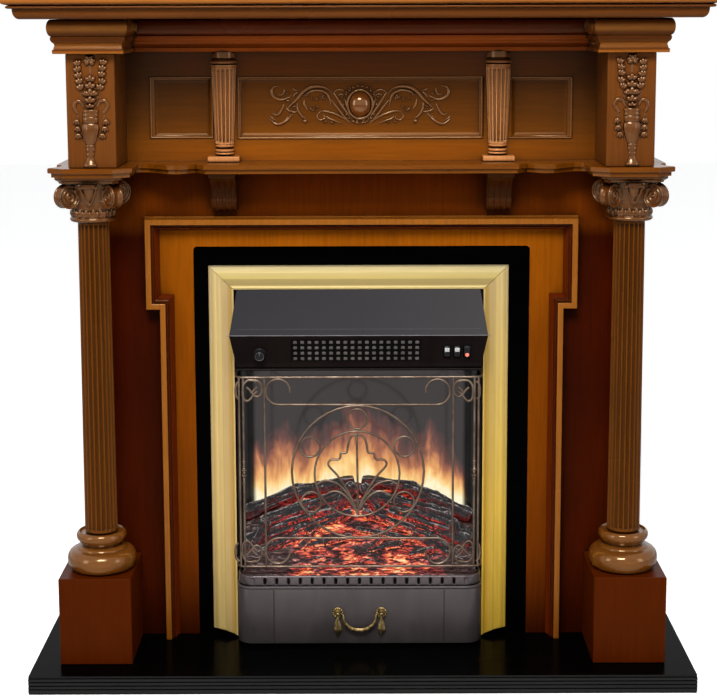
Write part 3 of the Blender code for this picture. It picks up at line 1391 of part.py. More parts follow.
def rosette(side, label):
    """A round back plate with an eye for the bail and a hanging tassel."""
    x = INSERT_X + side * HANDLE_SPAN / 2
    y = from_wall(COVER_REACH) - GAP
    plate_radius = 0.0095
    profile = [(0.0, 0.0042), (0.0045, 0.0042), (0.0060, 0.0026), (plate_radius - 0.0008, 0.0022),
               (plate_radius, 0.0012), (plate_radius, 0.0), (0.0, 0.0)]
    disc = turned("handle_rosette_" + label, profile, OLD_BRASS, steps=12)
    disc.data.transform(Matrix.Translation((x, y, HANDLE_LEVEL))
                        @ Matrix.Rotation(math.pi / 2, 4, "X"))
    neck = rod("neck", (x, y - 0.003, HANDLE_LEVEL), (x, y - EYE_REACH - 0.001, HANDLE_LEVEL),
               0.0034, OLD_BRASS, sides=12)
    ball = bmesh.new()
    bmesh.ops.create_uvsphere(ball, u_segments=8, v_segments=5, radius=0.0046)
    bmesh.ops.translate(ball, vec=(x, y - EYE_REACH - 0.0012, HANDLE_LEVEL - 0.0008),
                        verts=ball.verts)
    knob = from_bmesh("ball", ball, OLD_BRASS)
    tassel = turned("tassel", [(0.0, 0.0), (0.0026, 0.0), (0.0030, -0.003), (0.0024, -0.006),
                               (0.0052, -0.026), (0.0055, -0.028), (0.0042, -0.0295),
                               (0.0046, -0.034), (0.0, -0.035)], OLD_BRASS, steps=8)
    tassel.data.transform(Matrix.Translation((x, y - EYE_REACH - 0.0012, HANDLE_LEVEL - 0.003)))
    bore = rod("bore", (x - side * 0.02, y - EYE_REACH - 0.0012, HANDLE_LEVEL),
               (x - side * 0.0012, y - EYE_REACH - 0.0012, HANDLE_LEVEL),
               0.0019, OLD_BRASS, sides=10)
    return cut(combine(disc, [neck, knob, tassel]), bore)


def handle_bail():
    """A swag shaped handle that hangs between the two eyes."""
    y = from_wall(COVER_REACH) - GAP - EYE_REACH - 0.0012
    end = HANDLE_SPAN / 2 - 0.0018
    drop = 0.0300
    points = [(-end, 0.0), (-end + 0.0045, 0.0)]
    for i in range(9):
        share = i / 8
        across = (-end + 0.0075) * math.cos(math.pi * share)
        points.append((across, -0.003 - (drop - 0.003) * math.sin(math.pi * share) ** 0.75))
    points += [(end - 0.0045, 0.0), (end, 0.0)]
    places = [(INSERT_X + x, y, HANDLE_LEVEL + z) for x, z in points]
    bail = wire("handle_bail", places, 0.0016, OLD_BRASS, resolution=2)
    swell = []
    for i in range(7):
        share = i / 6
        across = (-end + 0.0125) * math.cos(math.pi * (0.12 + 0.76 * share))
        swell.append((INSERT_X + across, y, HANDLE_LEVEL - 0.006
                      - (drop - 0.006) * math.sin(math.pi * (0.12 + 0.76 * share)) ** 0.9))
    fat = wire("swell", swell, 0.0026, OLD_BRASS, resolution=2)
    return recentre(combine(bail, [fat]), Vector((INSERT_X, y, HANDLE_LEVEL)))


# Wrought screen in front of the fire

SCREEN_LOW = HEARTH_TOP + 0.1370
SCREEN_HEIGHT = 0.3155
INNER_BAR = 0.156
CIRCLE_RADIUS = 0.1095
INNER_CIRCLE = 0.0705
SMALL_CIRCLE = 0.0166
CURL_RADIUS = 0.0235
SCREEN_BEND = 0.014


def screen_point(x, z):
    """A point of the screen's plane; z is measured from the middle of the big circle."""
    return (INSERT_X + x, from_wall(SCREEN_REACH), SCREEN_LOW + SCREEN_HEIGHT / 2 + z)


def screen_ring(x, z, radius, count):
    points = [screen_point(x + radius * math.cos(a), z + radius * math.sin(a))
              for a in (2 * math.pi * i / count for i in range(count))]
    return wire("ring", points, WIRE_RADIUS, BRONZE, closed=True, resolution=0)


def screen_bar(name, level):
    """A cross bar whose ends turn back and out to the rim of the case."""
    half = SCREEN_WIDTH / 2
    rim = (CASE_WIDTH - SHEET) / 2
    y = from_wall(SCREEN_REACH)
    back = from_wall(CASE_FRONT) - GAP
    straight = 0.004
    bend = SCREEN_BEND
    points = [(-rim, back), (-rim, back - straight)]
    points += arc((-half + bend, y + bend), bend, 180, 270, 4)
    points += arc((half - bend, y + bend), bend, 270, 360, 4)
    points += [(rim, back - straight), (rim, back)]
    return wire(name, [(INSERT_X + x, py, level) for x, py in points], WIRE_RADIUS, BRONZE)


def wrought_screen():
    half_high = SCREEN_HEIGHT / 2
    frame = screen_bar("wrought_screen", SCREEN_LOW)
    parts = [screen_bar("bar", SCREEN_LOW + SCREEN_HEIGHT)]
    post = SCREEN_WIDTH / 2 - 0.008
    for side in (-1, 1):
        parts.append(wire("inner_bar", [screen_point(side * INNER_BAR, -half_high),
                                        screen_point(side * INNER_BAR, half_high)],
                          WIRE_RADIUS, BRONZE))
        post_y = from_wall(SCREEN_REACH) + SCREEN_BEND * 0.18
        foot, head = screen_point(side * post, -half_high), screen_point(side * post, half_high)
        parts.append(wire("post", [(foot[0], post_y, foot[2]), (head[0], post_y, head[2])],
                          WIRE_RADIUS * 1.15, BRONZE))
        for up in (-1, 1):
            parts.append(wire("heart", [screen_point(side * px, up * pz) for px, pz in
                                        heart_curl(post, half_high)], WIRE_RADIUS, BRONZE,
                              resolution=0))
    for up in (-1, 1):
        level = up * CIRCLE_RADIUS
        centre_x = INNER_BAR - CURL_RADIUS - WIRE_RADIUS
        centre_z = level + up * CURL_RADIUS
        left = list(arc((-centre_x, centre_z), CURL_RADIUS, -90 * up, -380 * up, 8))
        right = [(-px, pz) for px, pz in left]
        line = list(reversed(left)) + right
        parts.append(wire("scroll", [screen_point(px, pz) for px, pz in line], WIRE_RADIUS,
                          BRONZE, resolution=0))
    parts.append(screen_ring(0.0, 0.0, CIRCLE_RADIUS, 20))
    parts.append(screen_ring(0.0, 0.0, INNER_CIRCLE, 16))
    between = INNER_CIRCLE + SMALL_CIRCLE
    for angle in (90, 28, 152, -28, 208):
        x = between * math.cos(math.radians(angle))
        z = between * math.sin(math.radians(angle))
        parts.append(screen_ring(x, z, SMALL_CIRCLE, 8))
    bridge = (INNER_CIRCLE + CIRCLE_RADIUS) / 2
    parts.append(wire("tie", [screen_point(0.0, -INNER_CIRCLE), screen_point(0.0, -CIRCLE_RADIUS)],
                      WIRE_RADIUS, BRONZE))
    for angle in (28, 152, 90):
        direction = Vector((math.cos(math.radians(angle)), math.sin(math.radians(angle))))
        outer = direction * CIRCLE_RADIUS
        inner = direction * (bridge + SMALL_CIRCLE - 0.004)
        parts.append(wire("tie", [screen_point(*inner), screen_point(*outer)], WIRE_RADIUS,
                          BRONZE))
    parts.append(wire("stem", [screen_point(0.0, -INNER_CIRCLE), screen_point(0.0, 0.060)],
                      WIRE_RADIUS, BRONZE))
    for side in (-1, 1):
        leaf = [(0.0, 0.058), (0.012, 0.040), (0.022, 0.030), (0.014, 0.018), (0.034, 0.022),
                (0.050, 0.010), (0.042, -0.008), (0.026, -0.022), (0.012, -0.040),
                (0.0, -0.058)]
        parts.append(wire("leaf", [screen_point(side * px, pz) for px, pz in leaf],
                          WIRE_RADIUS, BRONZE, resolution=0))
    return combine(frame, parts)


def heart_curl(post, half_high):
    """One curl between the inner bar and the end post, in the corner of the screen."""
    middle = (INNER_BAR + post) / 2
    radius = (post - INNER_BAR) / 2 - 0.0005
    top = half_high - radius - 0.001
    return [(x, z) for x, z in arc((middle, top), radius, 110, 430, 7)]


def cable_gland():
    """The gland for the mains lead, low on the back of the case."""
    x = INSERT_X + CASE_WIDTH / 2 - 0.052
    z = HEARTH_TOP + 0.045
    back = from_wall(CASE_BACK) + GAP
    profile = [(0.0, 0.016), (0.0045, 0.016), (0.0045, 0.006), (0.0085, 0.006),
               (0.0085, 0.0), (0.0, 0.0)]
    gland = turned("cable_gland", profile, BLACK_PLASTIC, steps=12)
    gland.data.transform(Matrix.Translation((x, back, z)) @ Matrix.Rotation(-math.pi / 2, 4, "X"))
    return gland


def build():
    hearth_slab()
    both_sides(pedestal)
    both_sides(column_base)
    both_sides(column_shaft)
    both_sides(capital)
    mid_shelf()
    both_sides(upper_box)
    both_sides(urn_applique)
    frieze_panel()
    both_sides(half_column)
    centre_applique()
    cornice_centre()
    both_sides(cornice_block)
    mantel_top()
    both_sides(corbel)
    front_panel()
    architrave()
    infill_panel()
    both_sides(side_panel)
    both_sides(upper_side)
    back_rail("back_rail", CAPITAL_TOP - 0.060)
    trim_top()
    both_sides(trim_side)
    firebox_case()
    hood()
    outlet_grille()
    thermostat_knob()
    for index, across in enumerate(SWITCH_ACROSS, start=1):
        rocker(index, across)
    heater_tray()
    fan_rotor()
    fan_end = INSERT_X + FAN_LENGTH / 2
    motor("fan_motor", fan_end + 0.004, FAN_DEPTH, FAN_LEVEL, HEATER_TRAY_LEVEL, BLACK_STEEL,
          0.045, 0.019)
    heater_element()
    bed_tray()
    flame_screen()
    flicker_spindle()
    spindle_end = INSERT_X + SPINDLE_LENGTH / 2
    motor("flicker_motor", spindle_end + 0.003, SPINDLE_DEPTH, SPINDLE_LEVEL, BED_LEVEL,
          BLACK_STEEL, 0.030, 0.014)
    lamp_board()
    ember_bed()
    fret_band()
    ash_cover()
    both_sides(rosette)
    handle_bail()
    wrought_screen()
    cable_gland()


build()
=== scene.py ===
"""Looks for the electric fireplace suite: camera, light, materials and the detailed pieces.

X runs to the right, the front faces -Y, +Z is up, in metres, as in the frame. Pixels are
those of the 717 by 697 photograph.
"""
from math import atan2, cos, degrees, pi, radians, sin, sqrt

import bmesh
import bpy
from mathutils import Matrix, Vector, noise


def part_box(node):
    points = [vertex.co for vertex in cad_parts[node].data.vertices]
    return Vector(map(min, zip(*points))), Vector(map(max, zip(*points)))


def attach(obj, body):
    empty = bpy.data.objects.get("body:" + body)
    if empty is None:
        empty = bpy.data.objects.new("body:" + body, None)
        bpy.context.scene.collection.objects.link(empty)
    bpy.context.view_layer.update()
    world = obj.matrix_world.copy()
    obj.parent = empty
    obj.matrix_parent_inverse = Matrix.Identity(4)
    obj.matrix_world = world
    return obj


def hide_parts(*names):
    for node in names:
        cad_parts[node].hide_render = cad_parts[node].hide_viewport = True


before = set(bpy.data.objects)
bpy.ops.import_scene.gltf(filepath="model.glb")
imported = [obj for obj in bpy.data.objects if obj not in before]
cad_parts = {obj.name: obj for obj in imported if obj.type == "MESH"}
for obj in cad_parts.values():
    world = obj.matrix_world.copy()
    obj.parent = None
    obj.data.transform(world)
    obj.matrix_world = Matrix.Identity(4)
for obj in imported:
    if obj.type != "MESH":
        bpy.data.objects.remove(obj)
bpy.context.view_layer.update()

# Sizes that the pieces share with the solids
WALL_Y = 0.185
MID_X = -0.005                # the inset fire stands this far off the mantel's middle
FLUTES = 20                   # round a column


def from_wall(depth):
    return WALL_Y - depth


def heights(node):
    """The levels of the lowest and the highest point of a node."""
    return [corner.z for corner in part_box(node)]


def mm(points, level=0):
    """Points given in millimetres, the second coordinate counted from a level in metres."""
    return [(across / 1000, level + rise / 1000) for across, rise in points]


def shares(count):
    """0 to 1 in even steps."""
    return [i / count for i in range(count + 1)]


def angles(count):
    """Angles evenly round a circle."""
    return [2 * pi * i / count for i in range(count)]


# Camera

PHOTO_WIDTH, PHOTO_HEIGHT = 717, 697
FOCAL_PIXELS = 1650
SENSOR = 36
PITCH = radians(8.144)
ROLL = radians(-0.17)
SHIFT_X, SHIFT_Y = -0.0042, -0.14
CAMERA_PLACE = Vector((0, -2.6196, 1.0609))
CAMERA_TURN = Matrix.Rotation(pi / 2 - PITCH, 3, "X") @ Matrix.Rotation(ROLL, 3, "Z")


def make_camera():
    data = bpy.data.cameras.new("camera")
    data.lens = FOCAL_PIXELS / PHOTO_WIDTH * SENSOR
    data.sensor_width = SENSOR
    data.shift_x, data.shift_y = SHIFT_X, SHIFT_Y
    data.clip_start, data.clip_end = 0.05, 60
    camera = bpy.data.objects.new("camera", data)
    bpy.context.scene.collection.objects.link(camera)
    camera.matrix_world = Matrix.Translation(CAMERA_PLACE) @ CAMERA_TURN.to_4x4()
    bpy.context.scene.camera = camera


make_camera()


def spot(px, py, y):
    """The point of the plane at this Y that the photograph shows at a pixel."""
    across = (px - PHOTO_WIDTH / 2 + SHIFT_X * PHOTO_WIDTH) / FOCAL_PIXELS
    up = (PHOTO_HEIGHT / 2 + SHIFT_Y * PHOTO_WIDTH - py) / FOCAL_PIXELS
    ray = CAMERA_TURN @ Vector((across, up, -1))
    return CAMERA_PLACE + ray * ((y - CAMERA_PLACE.y) / ray.y)


# Material helpers

class Look:
    """A material whose nodes are made one call at a time."""

    def __init__(self, name, roughness=0.4, metallic=0, specular=0.5):
        self.material = bpy.data.materials.new(name)
        self.material.use_nodes = True
        self.nodes = self.material.node_tree.nodes
        self.links = self.material.node_tree.links
        self.shader = self.nodes["Principled BSDF"]
        self.put("Roughness", roughness)
        self.put("Metallic", metallic)
        self.put("Specular IOR Level", specular)

    def feed(self, entry, value):
        """Links an output to an entry, or sets the entry's own value."""
        if hasattr(value, "is_output"):
            self.links.new(value, entry)
        else:
            entry.default_value = (*value, 1) if entry.type == "RGBA" else value

    def put(self, socket, value):
        self.feed(self.shader.inputs[socket], value)

    def node(self, kind, inputs=(), **settings):
        made = self.nodes.new("ShaderNode" + kind)
        for setting, value in settings.items():
            setattr(made, setting, value)
        for socket, value in dict(inputs).items():
            self.feed(made.inputs[socket], value)
        return made

    def split(self, vector=None):
        """The coordinates of a vector, by default of the place in the object."""
        vector = self.place() if vector is None else vector
        return self.node("SeparateXYZ", {"Vector": vector}).outputs

    def place(self, scale=(1, 1, 1)):
        where = self.node("TexCoord").outputs["Object"]
        return self.node("Mapping", {"Vector": where, "Scale": scale}).outputs["Vector"]

    def cloud(self, place, scale, detail=4, distortion=0, rough=0.55):
        inputs = {"Vector": place, "Scale": scale, "Detail": detail, "Distortion": distortion,
                  "Roughness": rough}
        return self.node("TexNoise", inputs).outputs["Fac"]

    def ramp(self, value, stops):
        made = self.node("ValToRGB", {"Fac": value})
        band = made.color_ramp
        while len(band.elements) < len(stops):
            band.elements.new(0.5)
        for element, (place, colour) in zip(band.elements, stops):
            element.position = place
            element.color = (*colour, 1)
        return made.outputs["Color"]

    def grey_ramp(self, value, stops):
        return self.ramp(value, [(place, (tone, tone, tone)) for place, tone in stops])

    def spread(self, value, low, high, out_low, out_high):
        inputs = {"Value": value, "From Min": low, "From Max": high, "To Min": out_low,
                  "To Max": out_high}
        return self.node("MapRange", inputs).outputs["Result"]

    def math(self, operation, first, second=0, clamp=False):
        inputs = {0: first, 1: second}
        return self.node("Math", inputs, operation=operation, use_clamp=clamp).outputs[0]

    def blend(self, share, first, second, kind="MIX"):
        made = self.node("Mix", {"Factor": share}, data_type="RGBA", blend_type=kind)
        self.feed(made.inputs[6], first)
        self.feed(made.inputs[7], second)
        return made.outputs[2]

    def bump(self, height, strength, distance):
        inputs = {"Height": height, "Strength": strength, "Distance": distance}
        self.put("Normal", self.node("Bump", inputs).outputs["Normal"])


def painted_shade_in_hollows(look, colour, distance, deep, open_from, darkest, share):
    """Painted shade in hollows: darker where other surfaces stand close."""
    shade = look.node("AmbientOcclusion", {"Distance": distance}, samples=8).outputs["AO"]
    depth = look.grey_ramp(shade, [(deep, darkest), (open_from, 1)])
    return look.blend(share, colour, depth, "MULTIPLY")


def painted_light_by_level(look, colour, levels):
    """Painted light and shade by height; levels are (height, tone) pairs."""
    low, high = levels[0][0], levels[-1][0]
    height = look.split()["Z"]
    share = look.spread(height, low, high, 0, 1)
    tones = look.ramp(share, [((level - low) / (high - low), tone) for level, tone in levels])
    return look.blend(1, colour, tones, "MULTIPLY")


# Middle lines of the architrave's moulding, in metres
LEG_LINE, EAR_LINE, STEP_LINE, TOP_LINE = 0.3165, 0.3385, 0.5955, 0.7237


def within_architrave(look):
    """1 on the board inside the architrave, 0 outside it."""
    parts = look.split()
    away = look.math("ABSOLUTE", parts["X"])
    level = parts["Z"]
    legs = look.math("LESS_THAN", away, LEG_LINE)
    ears = look.math("MULTIPLY", look.math("LESS_THAN", away, EAR_LINE),
                     look.math("GREATER_THAN", level, STEP_LINE))
    below = look.math("LESS_THAN", level, TOP_LINE)
    return look.math("MULTIPLY", look.math("MAXIMUM", legs, ears), below)


LACQUER_SHINE = (1, 0.7, 0.42)
GRAIN_SCALE, COLOUR_SCALE, PORE_SCALE = 210, 6, 1100
GRAIN_STRETCH, PORE_STRETCH = 0.05, 0.03


def wood(name, grain_axis, tone, roughness=0.34, sheen=0.1, contrast=1, hollows=0, recess=0,
         levels=(), hollow_range=(0.45, 0.97), inner_levels=()):
    """Lacquered walnut of one tone: fine long grain, slow colour changes and small pores."""
    look = Look(name, roughness, specular=sheen)
    look.put("Specular Tint", LACQUER_SHINE)
    stretch = [1, 1, 1]
    stretch["XYZ".index(grain_axis)] = GRAIN_STRETCH
    grain = look.cloud(look.place(tuple(stretch)), GRAIN_SCALE, 5, 0.35)
    slow = look.cloud(look.place(tuple(0.5 + 0.5 * s for s in stretch)), COLOUR_SCALE, 2)
    pores = look.cloud(look.place(tuple(s if s == 1 else PORE_STRETCH for s in stretch)), PORE_SCALE, 2)
    deep = tuple(c * (1 - 0.15 * contrast) for c in tone)
    pale = tuple(c * (1 + 0.13 * contrast) for c in tone)
    colour = look.ramp(grain, [(0.32, deep), (0.5, tone), (0.7, pale)])
    slow_tone = look.ramp(slow, [(0.3, (0.9, 0.87, 0.84)), (0.7, (1.08, 1.09, 1.05))])
    colour = look.blend(1, colour, slow_tone, "MULTIPLY")
    pore_tone = look.grey_ramp(pores, [(0.3, 0.78), (0.42, 1)])
    colour = look.blend(0.5, colour, pore_tone, "MULTIPLY")
    plain = colour
    # levels and inner_levels paint light and shade by height, the inner ones only inside the architrave
    if levels:
        colour = painted_light_by_level(look, plain, levels)
    if inner_levels:
        colour = look.blend(within_architrave(look), colour, painted_light_by_level(look, plain, inner_levels))
    # hollows and recess paint shade: in small hollows, and where larger parts stand close
    if hollows:
        colour = painted_shade_in_hollows(look, colour, 0.005, *hollow_range, 0.02, hollows)
    if recess:
        colour = painted_shade_in_hollows(look, colour, 0.16, 0.2, 0.8, 0.1, recess)
    look.put("Base Color", colour)
    look.put("Roughness", look.spread(slow, 0.3, 0.7, roughness - 0.05, roughness + 0.07))
    look.bump(pores, 0.06, 0.0002)
    return look.material


# Painted light and shade by height: height in metres, and its share of the wood's own tone
PLAIN = (1, 1, 1)
FRIEZE_LEVELS = ((0.826, (1.2, 1.15, 0.6)), (0.845, (1.1, 1.05, 0.5)), (0.862, (0.75, 0.75, 0.4)),
                 (0.89, (0.48, 0.48, 0.25)), (0.94, (0.42, 0.4, 0.2)), (0.975, (0.33, 0.24, 0.12)),
                 (0.999, (0.25, 0.16, 0.1)))
PANEL_LEVELS = ((0.03, (1, 0.6, 1)), (0.12, (0.9, 0.5, 1)), (0.25, (0.45, 0.25, 0.5)),
                (0.45, (0.31, 0.15, 0.4)), (0.7, (0.45, 0.22, 0.4)), (0.722, (1.5, 1.45, 1.2)),
                (0.76, (1.45, 1.35, 1)), (0.785, (1.3, 1, 0.6)), (0.811, (1.2, 0.9, 0.6)))
INNER_LEVELS = ((0.03, (0.6, 0.42, 0.8)), (0.1, (1, 0.9, 1.2)), (0.3, (1.35, 1.5, 1.2)),
                (0.5, (1.65, 1.95, 1.4)), (0.66, (1.95, 2.5, 1.8)), (0.72, (2.1, 2.7, 1.9)))
HALF_COLUMN_LEVELS = ((0.826, PLAIN), (0.968, PLAIN), (0.984, (0.35, 0.3, 0.25)),
                      (0.999, (0.2, 0.16, 0.12)))
TOP_LEVELS = ((1.0515, (0.36, 0.28, 0.14)), (1.068, (0.36, 0.28, 0.14)),
              (1.0705, (0.5, 0.4, 0.4)), (1.078, PLAIN), (1.09, PLAIN))
RUN_LEVELS = ((0.9996, (0.9, 0.9, 0.9)), (1.023, PLAIN), (1.0262, (0.31, 0.2, 0.25)),
              (1.051, (0.31, 0.2, 0.25)))
# The walnut comes in copies of other tones, part by part; beside the wood's own colour these tones carry
# painted light and shade where each part stands
WOOD_UPRIGHT = wood("walnut_upright", "Z", (0.27, 0.072, 0.003), recess=0.5)
WOOD_ARCHITRAVE = wood("walnut_architrave", "Z", (0.23, 0.072, 0.006), 0.26, 0.34, hollows=0.6,
                       recess=0.4, hollow_range=(0.5, 0.9))
WOOD_GROOVE = wood("walnut_groove", "Z", (0.092, 0.012, 0.001), 0.2, 0.16, hollows=0.6,
                   hollow_range=(0.35, 0.85))
WOOD_APPLIQUE = wood("walnut_applique", "X", (0.15, 0.053, 0.013), 0.18, 0.9, hollows=1,
                     hollow_range=(0.55, 0.93))
WOOD_FRAME = wood("walnut_frame", "X", (0.115, 0.035, 0.004), 0.2, 0.75, hollows=1,
                  hollow_range=(0.6, 0.92))
WOOD_LEVEL = wood("walnut_level", "X", (0.25, 0.068, 0.0032), 0.32, 0.22, recess=0.9,
                  levels=FRIEZE_LEVELS)
WOOD_SHELF = wood("walnut_shelf", "X", (0.125, 0.033, 0.0014), 0.26, 0.34, hollows=0.5)
WOOD_RUN = wood("walnut_run", "X", (0.3, 0.052, 0.0016), 0.24, 0.24, hollows=0.75, recess=0.5,
                levels=RUN_LEVELS)
# Painted highlight bands and painted shade across the blocks' mouldings, by height
BLOCK_LEVELS = ((0.9996, (1.5, 1.6, 1.6)), (1.0025, (1.4, 1.4, 1.2)), (1.0045, (0.5, 0.42, 0.35)),
                (1.007, (0.95, 0.95, 0.9)), (1.012, (1.25, 1.3, 1.2)), (1.019, (0.5, 0.42, 0.35)),
                (1.0235, (0.45, 0.36, 0.3)), (1.025, (1.6, 1.75, 1.8)), (1.0268, (0.45, 0.36, 0.3)),
                (1.03, (0.62, 0.54, 0.45)), (1.0355, (2.1, 2.6, 3.4)), (1.0395, (2, 2.4, 3.2)),
                (1.0445, (0.75, 0.65, 0.5)), (1.051, (0.45, 0.36, 0.3)))
WOOD_BLOCK = wood("walnut_block", "X", (0.15, 0.044, 0.0065), 0.24, 0.16, hollows=0.75, recess=0.4,
                  levels=BLOCK_LEVELS)
WOOD_TOP = wood("walnut_top", "X", (0.27, 0.088, 0.014), 0.26, 0.26, hollows=0.8, levels=TOP_LEVELS)
WOOD_BOX = wood("walnut_box", "Z", (0.11, 0.031, 0.0042), 0.36, 0.2, recess=0.3)
# Darker tone: painted shade on the panels behind the columns; the levels paint light and shade by height,
# paler inside the architrave
WOOD_RECESS = wood("walnut_recess", "Z", (0.12, 0.024, 0.0008), 0.36, 0.035, recess=1,
                   levels=PANEL_LEVELS, inner_levels=INNER_LEVELS)
# Darker tone: painted shade, as the pedestals stand low and take less light
WOOD_PEDESTAL = wood("walnut_pedestal", "Z", (0.064, 0.0092, 0.0004), 0.3, 0.05, contrast=0.8)
WOOD_CARVED = wood("walnut_carved", "Z", (0.09, 0.026, 0.0045), 0.2, 0.7, hollows=1,
                   hollow_range=(0.58, 0.95))
WOOD_TURNED = wood("walnut_turned", "Z", (0.12, 0.035, 0.0036), 0.28, 0.14, hollows=1,
                   hollow_range=(0.58, 0.96))
WOOD_HALF_COLUMN = wood("walnut_half_column", "Z", (0.48, 0.19, 0.062), 0.24, 0.5,
                        hollows=1, hollow_range=(0.58, 0.94), levels=HALF_COLUMN_LEVELS)
WOOD_CORBEL = wood("walnut_corbel", "Z", (0.048, 0.011, 0.0012), 0.3, 0.14, hollows=1,
                   hollow_range=(0.55, 0.92))
WOOD_RINGED = wood("walnut_ringed", "X", (0.135, 0.043, 0.0055), 0.17, 0.7, hollows=0.9)
WOOD_BOSS = wood("walnut_boss", "X", (0.15, 0.044, 0.008), 0.1, 1)


def black_lacquer(name, tone, sheen, front_sheen):
    """Black lacquer, near dead black when seen from above, with a soft shine on its edge."""
    look = Look(name, 0.2)
    streak = look.cloud(look.place((0.1, 1, 1)), 60, 3)
    look.put("Base Color", look.ramp(streak, [(0.4, (tone, tone, tone)),
                                              (0.8, (1.5 * tone, 1.5 * tone, 1.5 * tone))]))
    up = look.split(look.node("NewGeometry").outputs["Normal"])
    look.put("Specular IOR Level", look.spread(up["Z"], 0.6, 0.95, front_sheen, sheen))
    look.put("Roughness", look.spread(streak, 0.3, 0.7, 0.14, 0.28))
    return look.material


def brushed_brass(name, node, axis, shares, stretch, roughness=0.48, levels=()):
    """Satin brass; the shares give its tone from the node's low side to its high side, the brass's own
    colour in bands of painted reflection.
    """
    look = Look(name, roughness, 0.6, specular=0.3)
    low, high = (corner["XYZ".index(axis)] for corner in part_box(node))
    brush = look.cloud(look.place(stretch), 900, 3)
    slow = look.cloud(look.place(), 5, 2)
    where = look.split()[axis]
    colour = look.ramp(look.spread(where, low, high, 0, 1), shares)
    if levels:
        colour = painted_light_by_level(look, colour, levels)
    fine = look.grey_ramp(brush, [(0.25, 0.9), (0.75, 1)])
    colour = look.blend(1, colour, fine, "MULTIPLY")
    colour = look.blend(1, colour, look.grey_ramp(slow, [(0.3, 0.93), (0.7, 1)]), "MULTIPLY")
    look.put("Base Color", colour)
    look.put("Roughness", look.spread(brush, 0.2, 0.8, roughness - 0.05, roughness + 0.08))
    look.bump(brush, 0.06, 0.0001)
    return look.material


def coated_steel(name, low, high, roughness, sheen=0.12, metallic=0):
    """Powder coated sheet: a fine orange peel with faint handling marks."""
    look = Look(name, roughness, metallic, sheen)
    peel = look.cloud(look.place(), 900, 2)
    smear = look.cloud(look.place((1, 1, 0.4)), 22, 4, 0.8)
    look.put("Base Color", look.ramp(smear, [(0.3, low), (0.75, high)]))
    look.put("Roughness", look.spread(smear, 0.3, 0.7, roughness - 0.05, roughness + 0.09))
    look.bump(peel, 0.1, 0.00012)
    return look.material


def old_metal(name, dark, light, roughness, worn=0.35, scale=160):
    """Antiqued brass or bronze: dark in the hollows, rubbed bright in patches."""
    look = Look(name, roughness, 0.95)
    patch = look.cloud(look.place(), scale, 5, 0.4)
    fine = look.cloud(look.place(), 1500, 3)
    colour = look.ramp(patch, [(0.38, dark), (0.38 + worn, light)])
    look.put("Base Color", look.blend(0.35, colour, look.grey_ramp(fine, [(0.3, 0.6), (0.7, 1)]),
                                      "MULTIPLY"))
    look.put("Roughness", look.spread(patch, 0.35, 0.7, roughness + 0.12, roughness - 0.05))
    look.bump(fine, 0.15, 0.0001)
    return look.material


def galvanised():
    """Zinc with its crystals."""
    look = Look("galvanised", 0.38, 1)
    flakes = look.node("TexVoronoi", {"Vector": look.place(), "Scale": 130}).outputs["Color"]
    tone = look.node("RGBToBW", {"Color": flakes}).outputs[0]
    look.put("Base Color", look.grey_ramp(tone, [(0.2, 0.36), (0.8, 0.58)]))
    look.put("Roughness", look.spread(tone, 0, 1, 0.3, 0.48))
    return look.material


def moulded_plastic(name, colour, roughness, sheen=0.5):
    """Plastic with the fine grain of its mould."""
    look = Look(name, roughness, specular=sheen)
    grain = look.cloud(look.place(), 1400, 2)
    lighter = tuple(0.004 + 1.25 * c for c in colour)
    look.put("Base Color", look.ramp(grain, [(0.3, colour), (0.8, lighter)]))
    look.bump(grain, 0.12, 0.0001)
    return look.material


SLAB_BLACK = black_lacquer("slab_black", 0.0005, 0.013, 0.26)
INFILL_BLACK = black_lacquer("infill_black", 0.0004, 0.004, 0.004)
BRASS_PALE, BRASS_CREAM = (0.66, 0.5, 0.24), (0.74, 0.56, 0.25)
BRASS_OLIVE, BRASS_TAN = (0.6, 0.46, 0.17), (0.48, 0.345, 0.165)
BRASS_OCHRE = (0.44, 0.29, 0.085)
SIDE_TONES = (
    # share of the face from its outer edge, and the tone there: the brass's own colour with painted
    # reflections
    (0, BRASS_PALE), (0.07, BRASS_PALE), (0.11, BRASS_TAN), (0.2, BRASS_OLIVE),
    (0.28, BRASS_CREAM), (0.47, BRASS_CREAM), (0.52, BRASS_OLIVE), (0.58, BRASS_TAN),
    (0.72, BRASS_TAN), (0.8, BRASS_OCHRE), (0.92, BRASS_OCHRE), (1, BRASS_PALE))
UP_GRAIN, LONG_GRAIN = (1, 1, 0.02), (0.02, 1, 1)
# The levels make the lower part of each side trim paler and yellower: painted light.
BRASS_LEFT = brushed_brass("brass_left", "trim_left", "X", SIDE_TONES, UP_GRAIN,
                           levels=((0.03, (1.35, 1.3, 1.05)), (0.35, (1.15, 1.1, 1)),
                                   (0.65, (1, 1, 1))))
BRASS_RIGHT = brushed_brass("brass_right", "trim_right", "X",
                            [(1 - share, tone) for share, tone in reversed(SIDE_TONES)], UP_GRAIN,
                            levels=((0.03, (1.45, 1.25, 0.3)), (0.25, (1.35, 1.2, 0.45)),
                                    (0.45, (1.15, 1.08, 0.7)), (0.65, (1, 1, 1))))
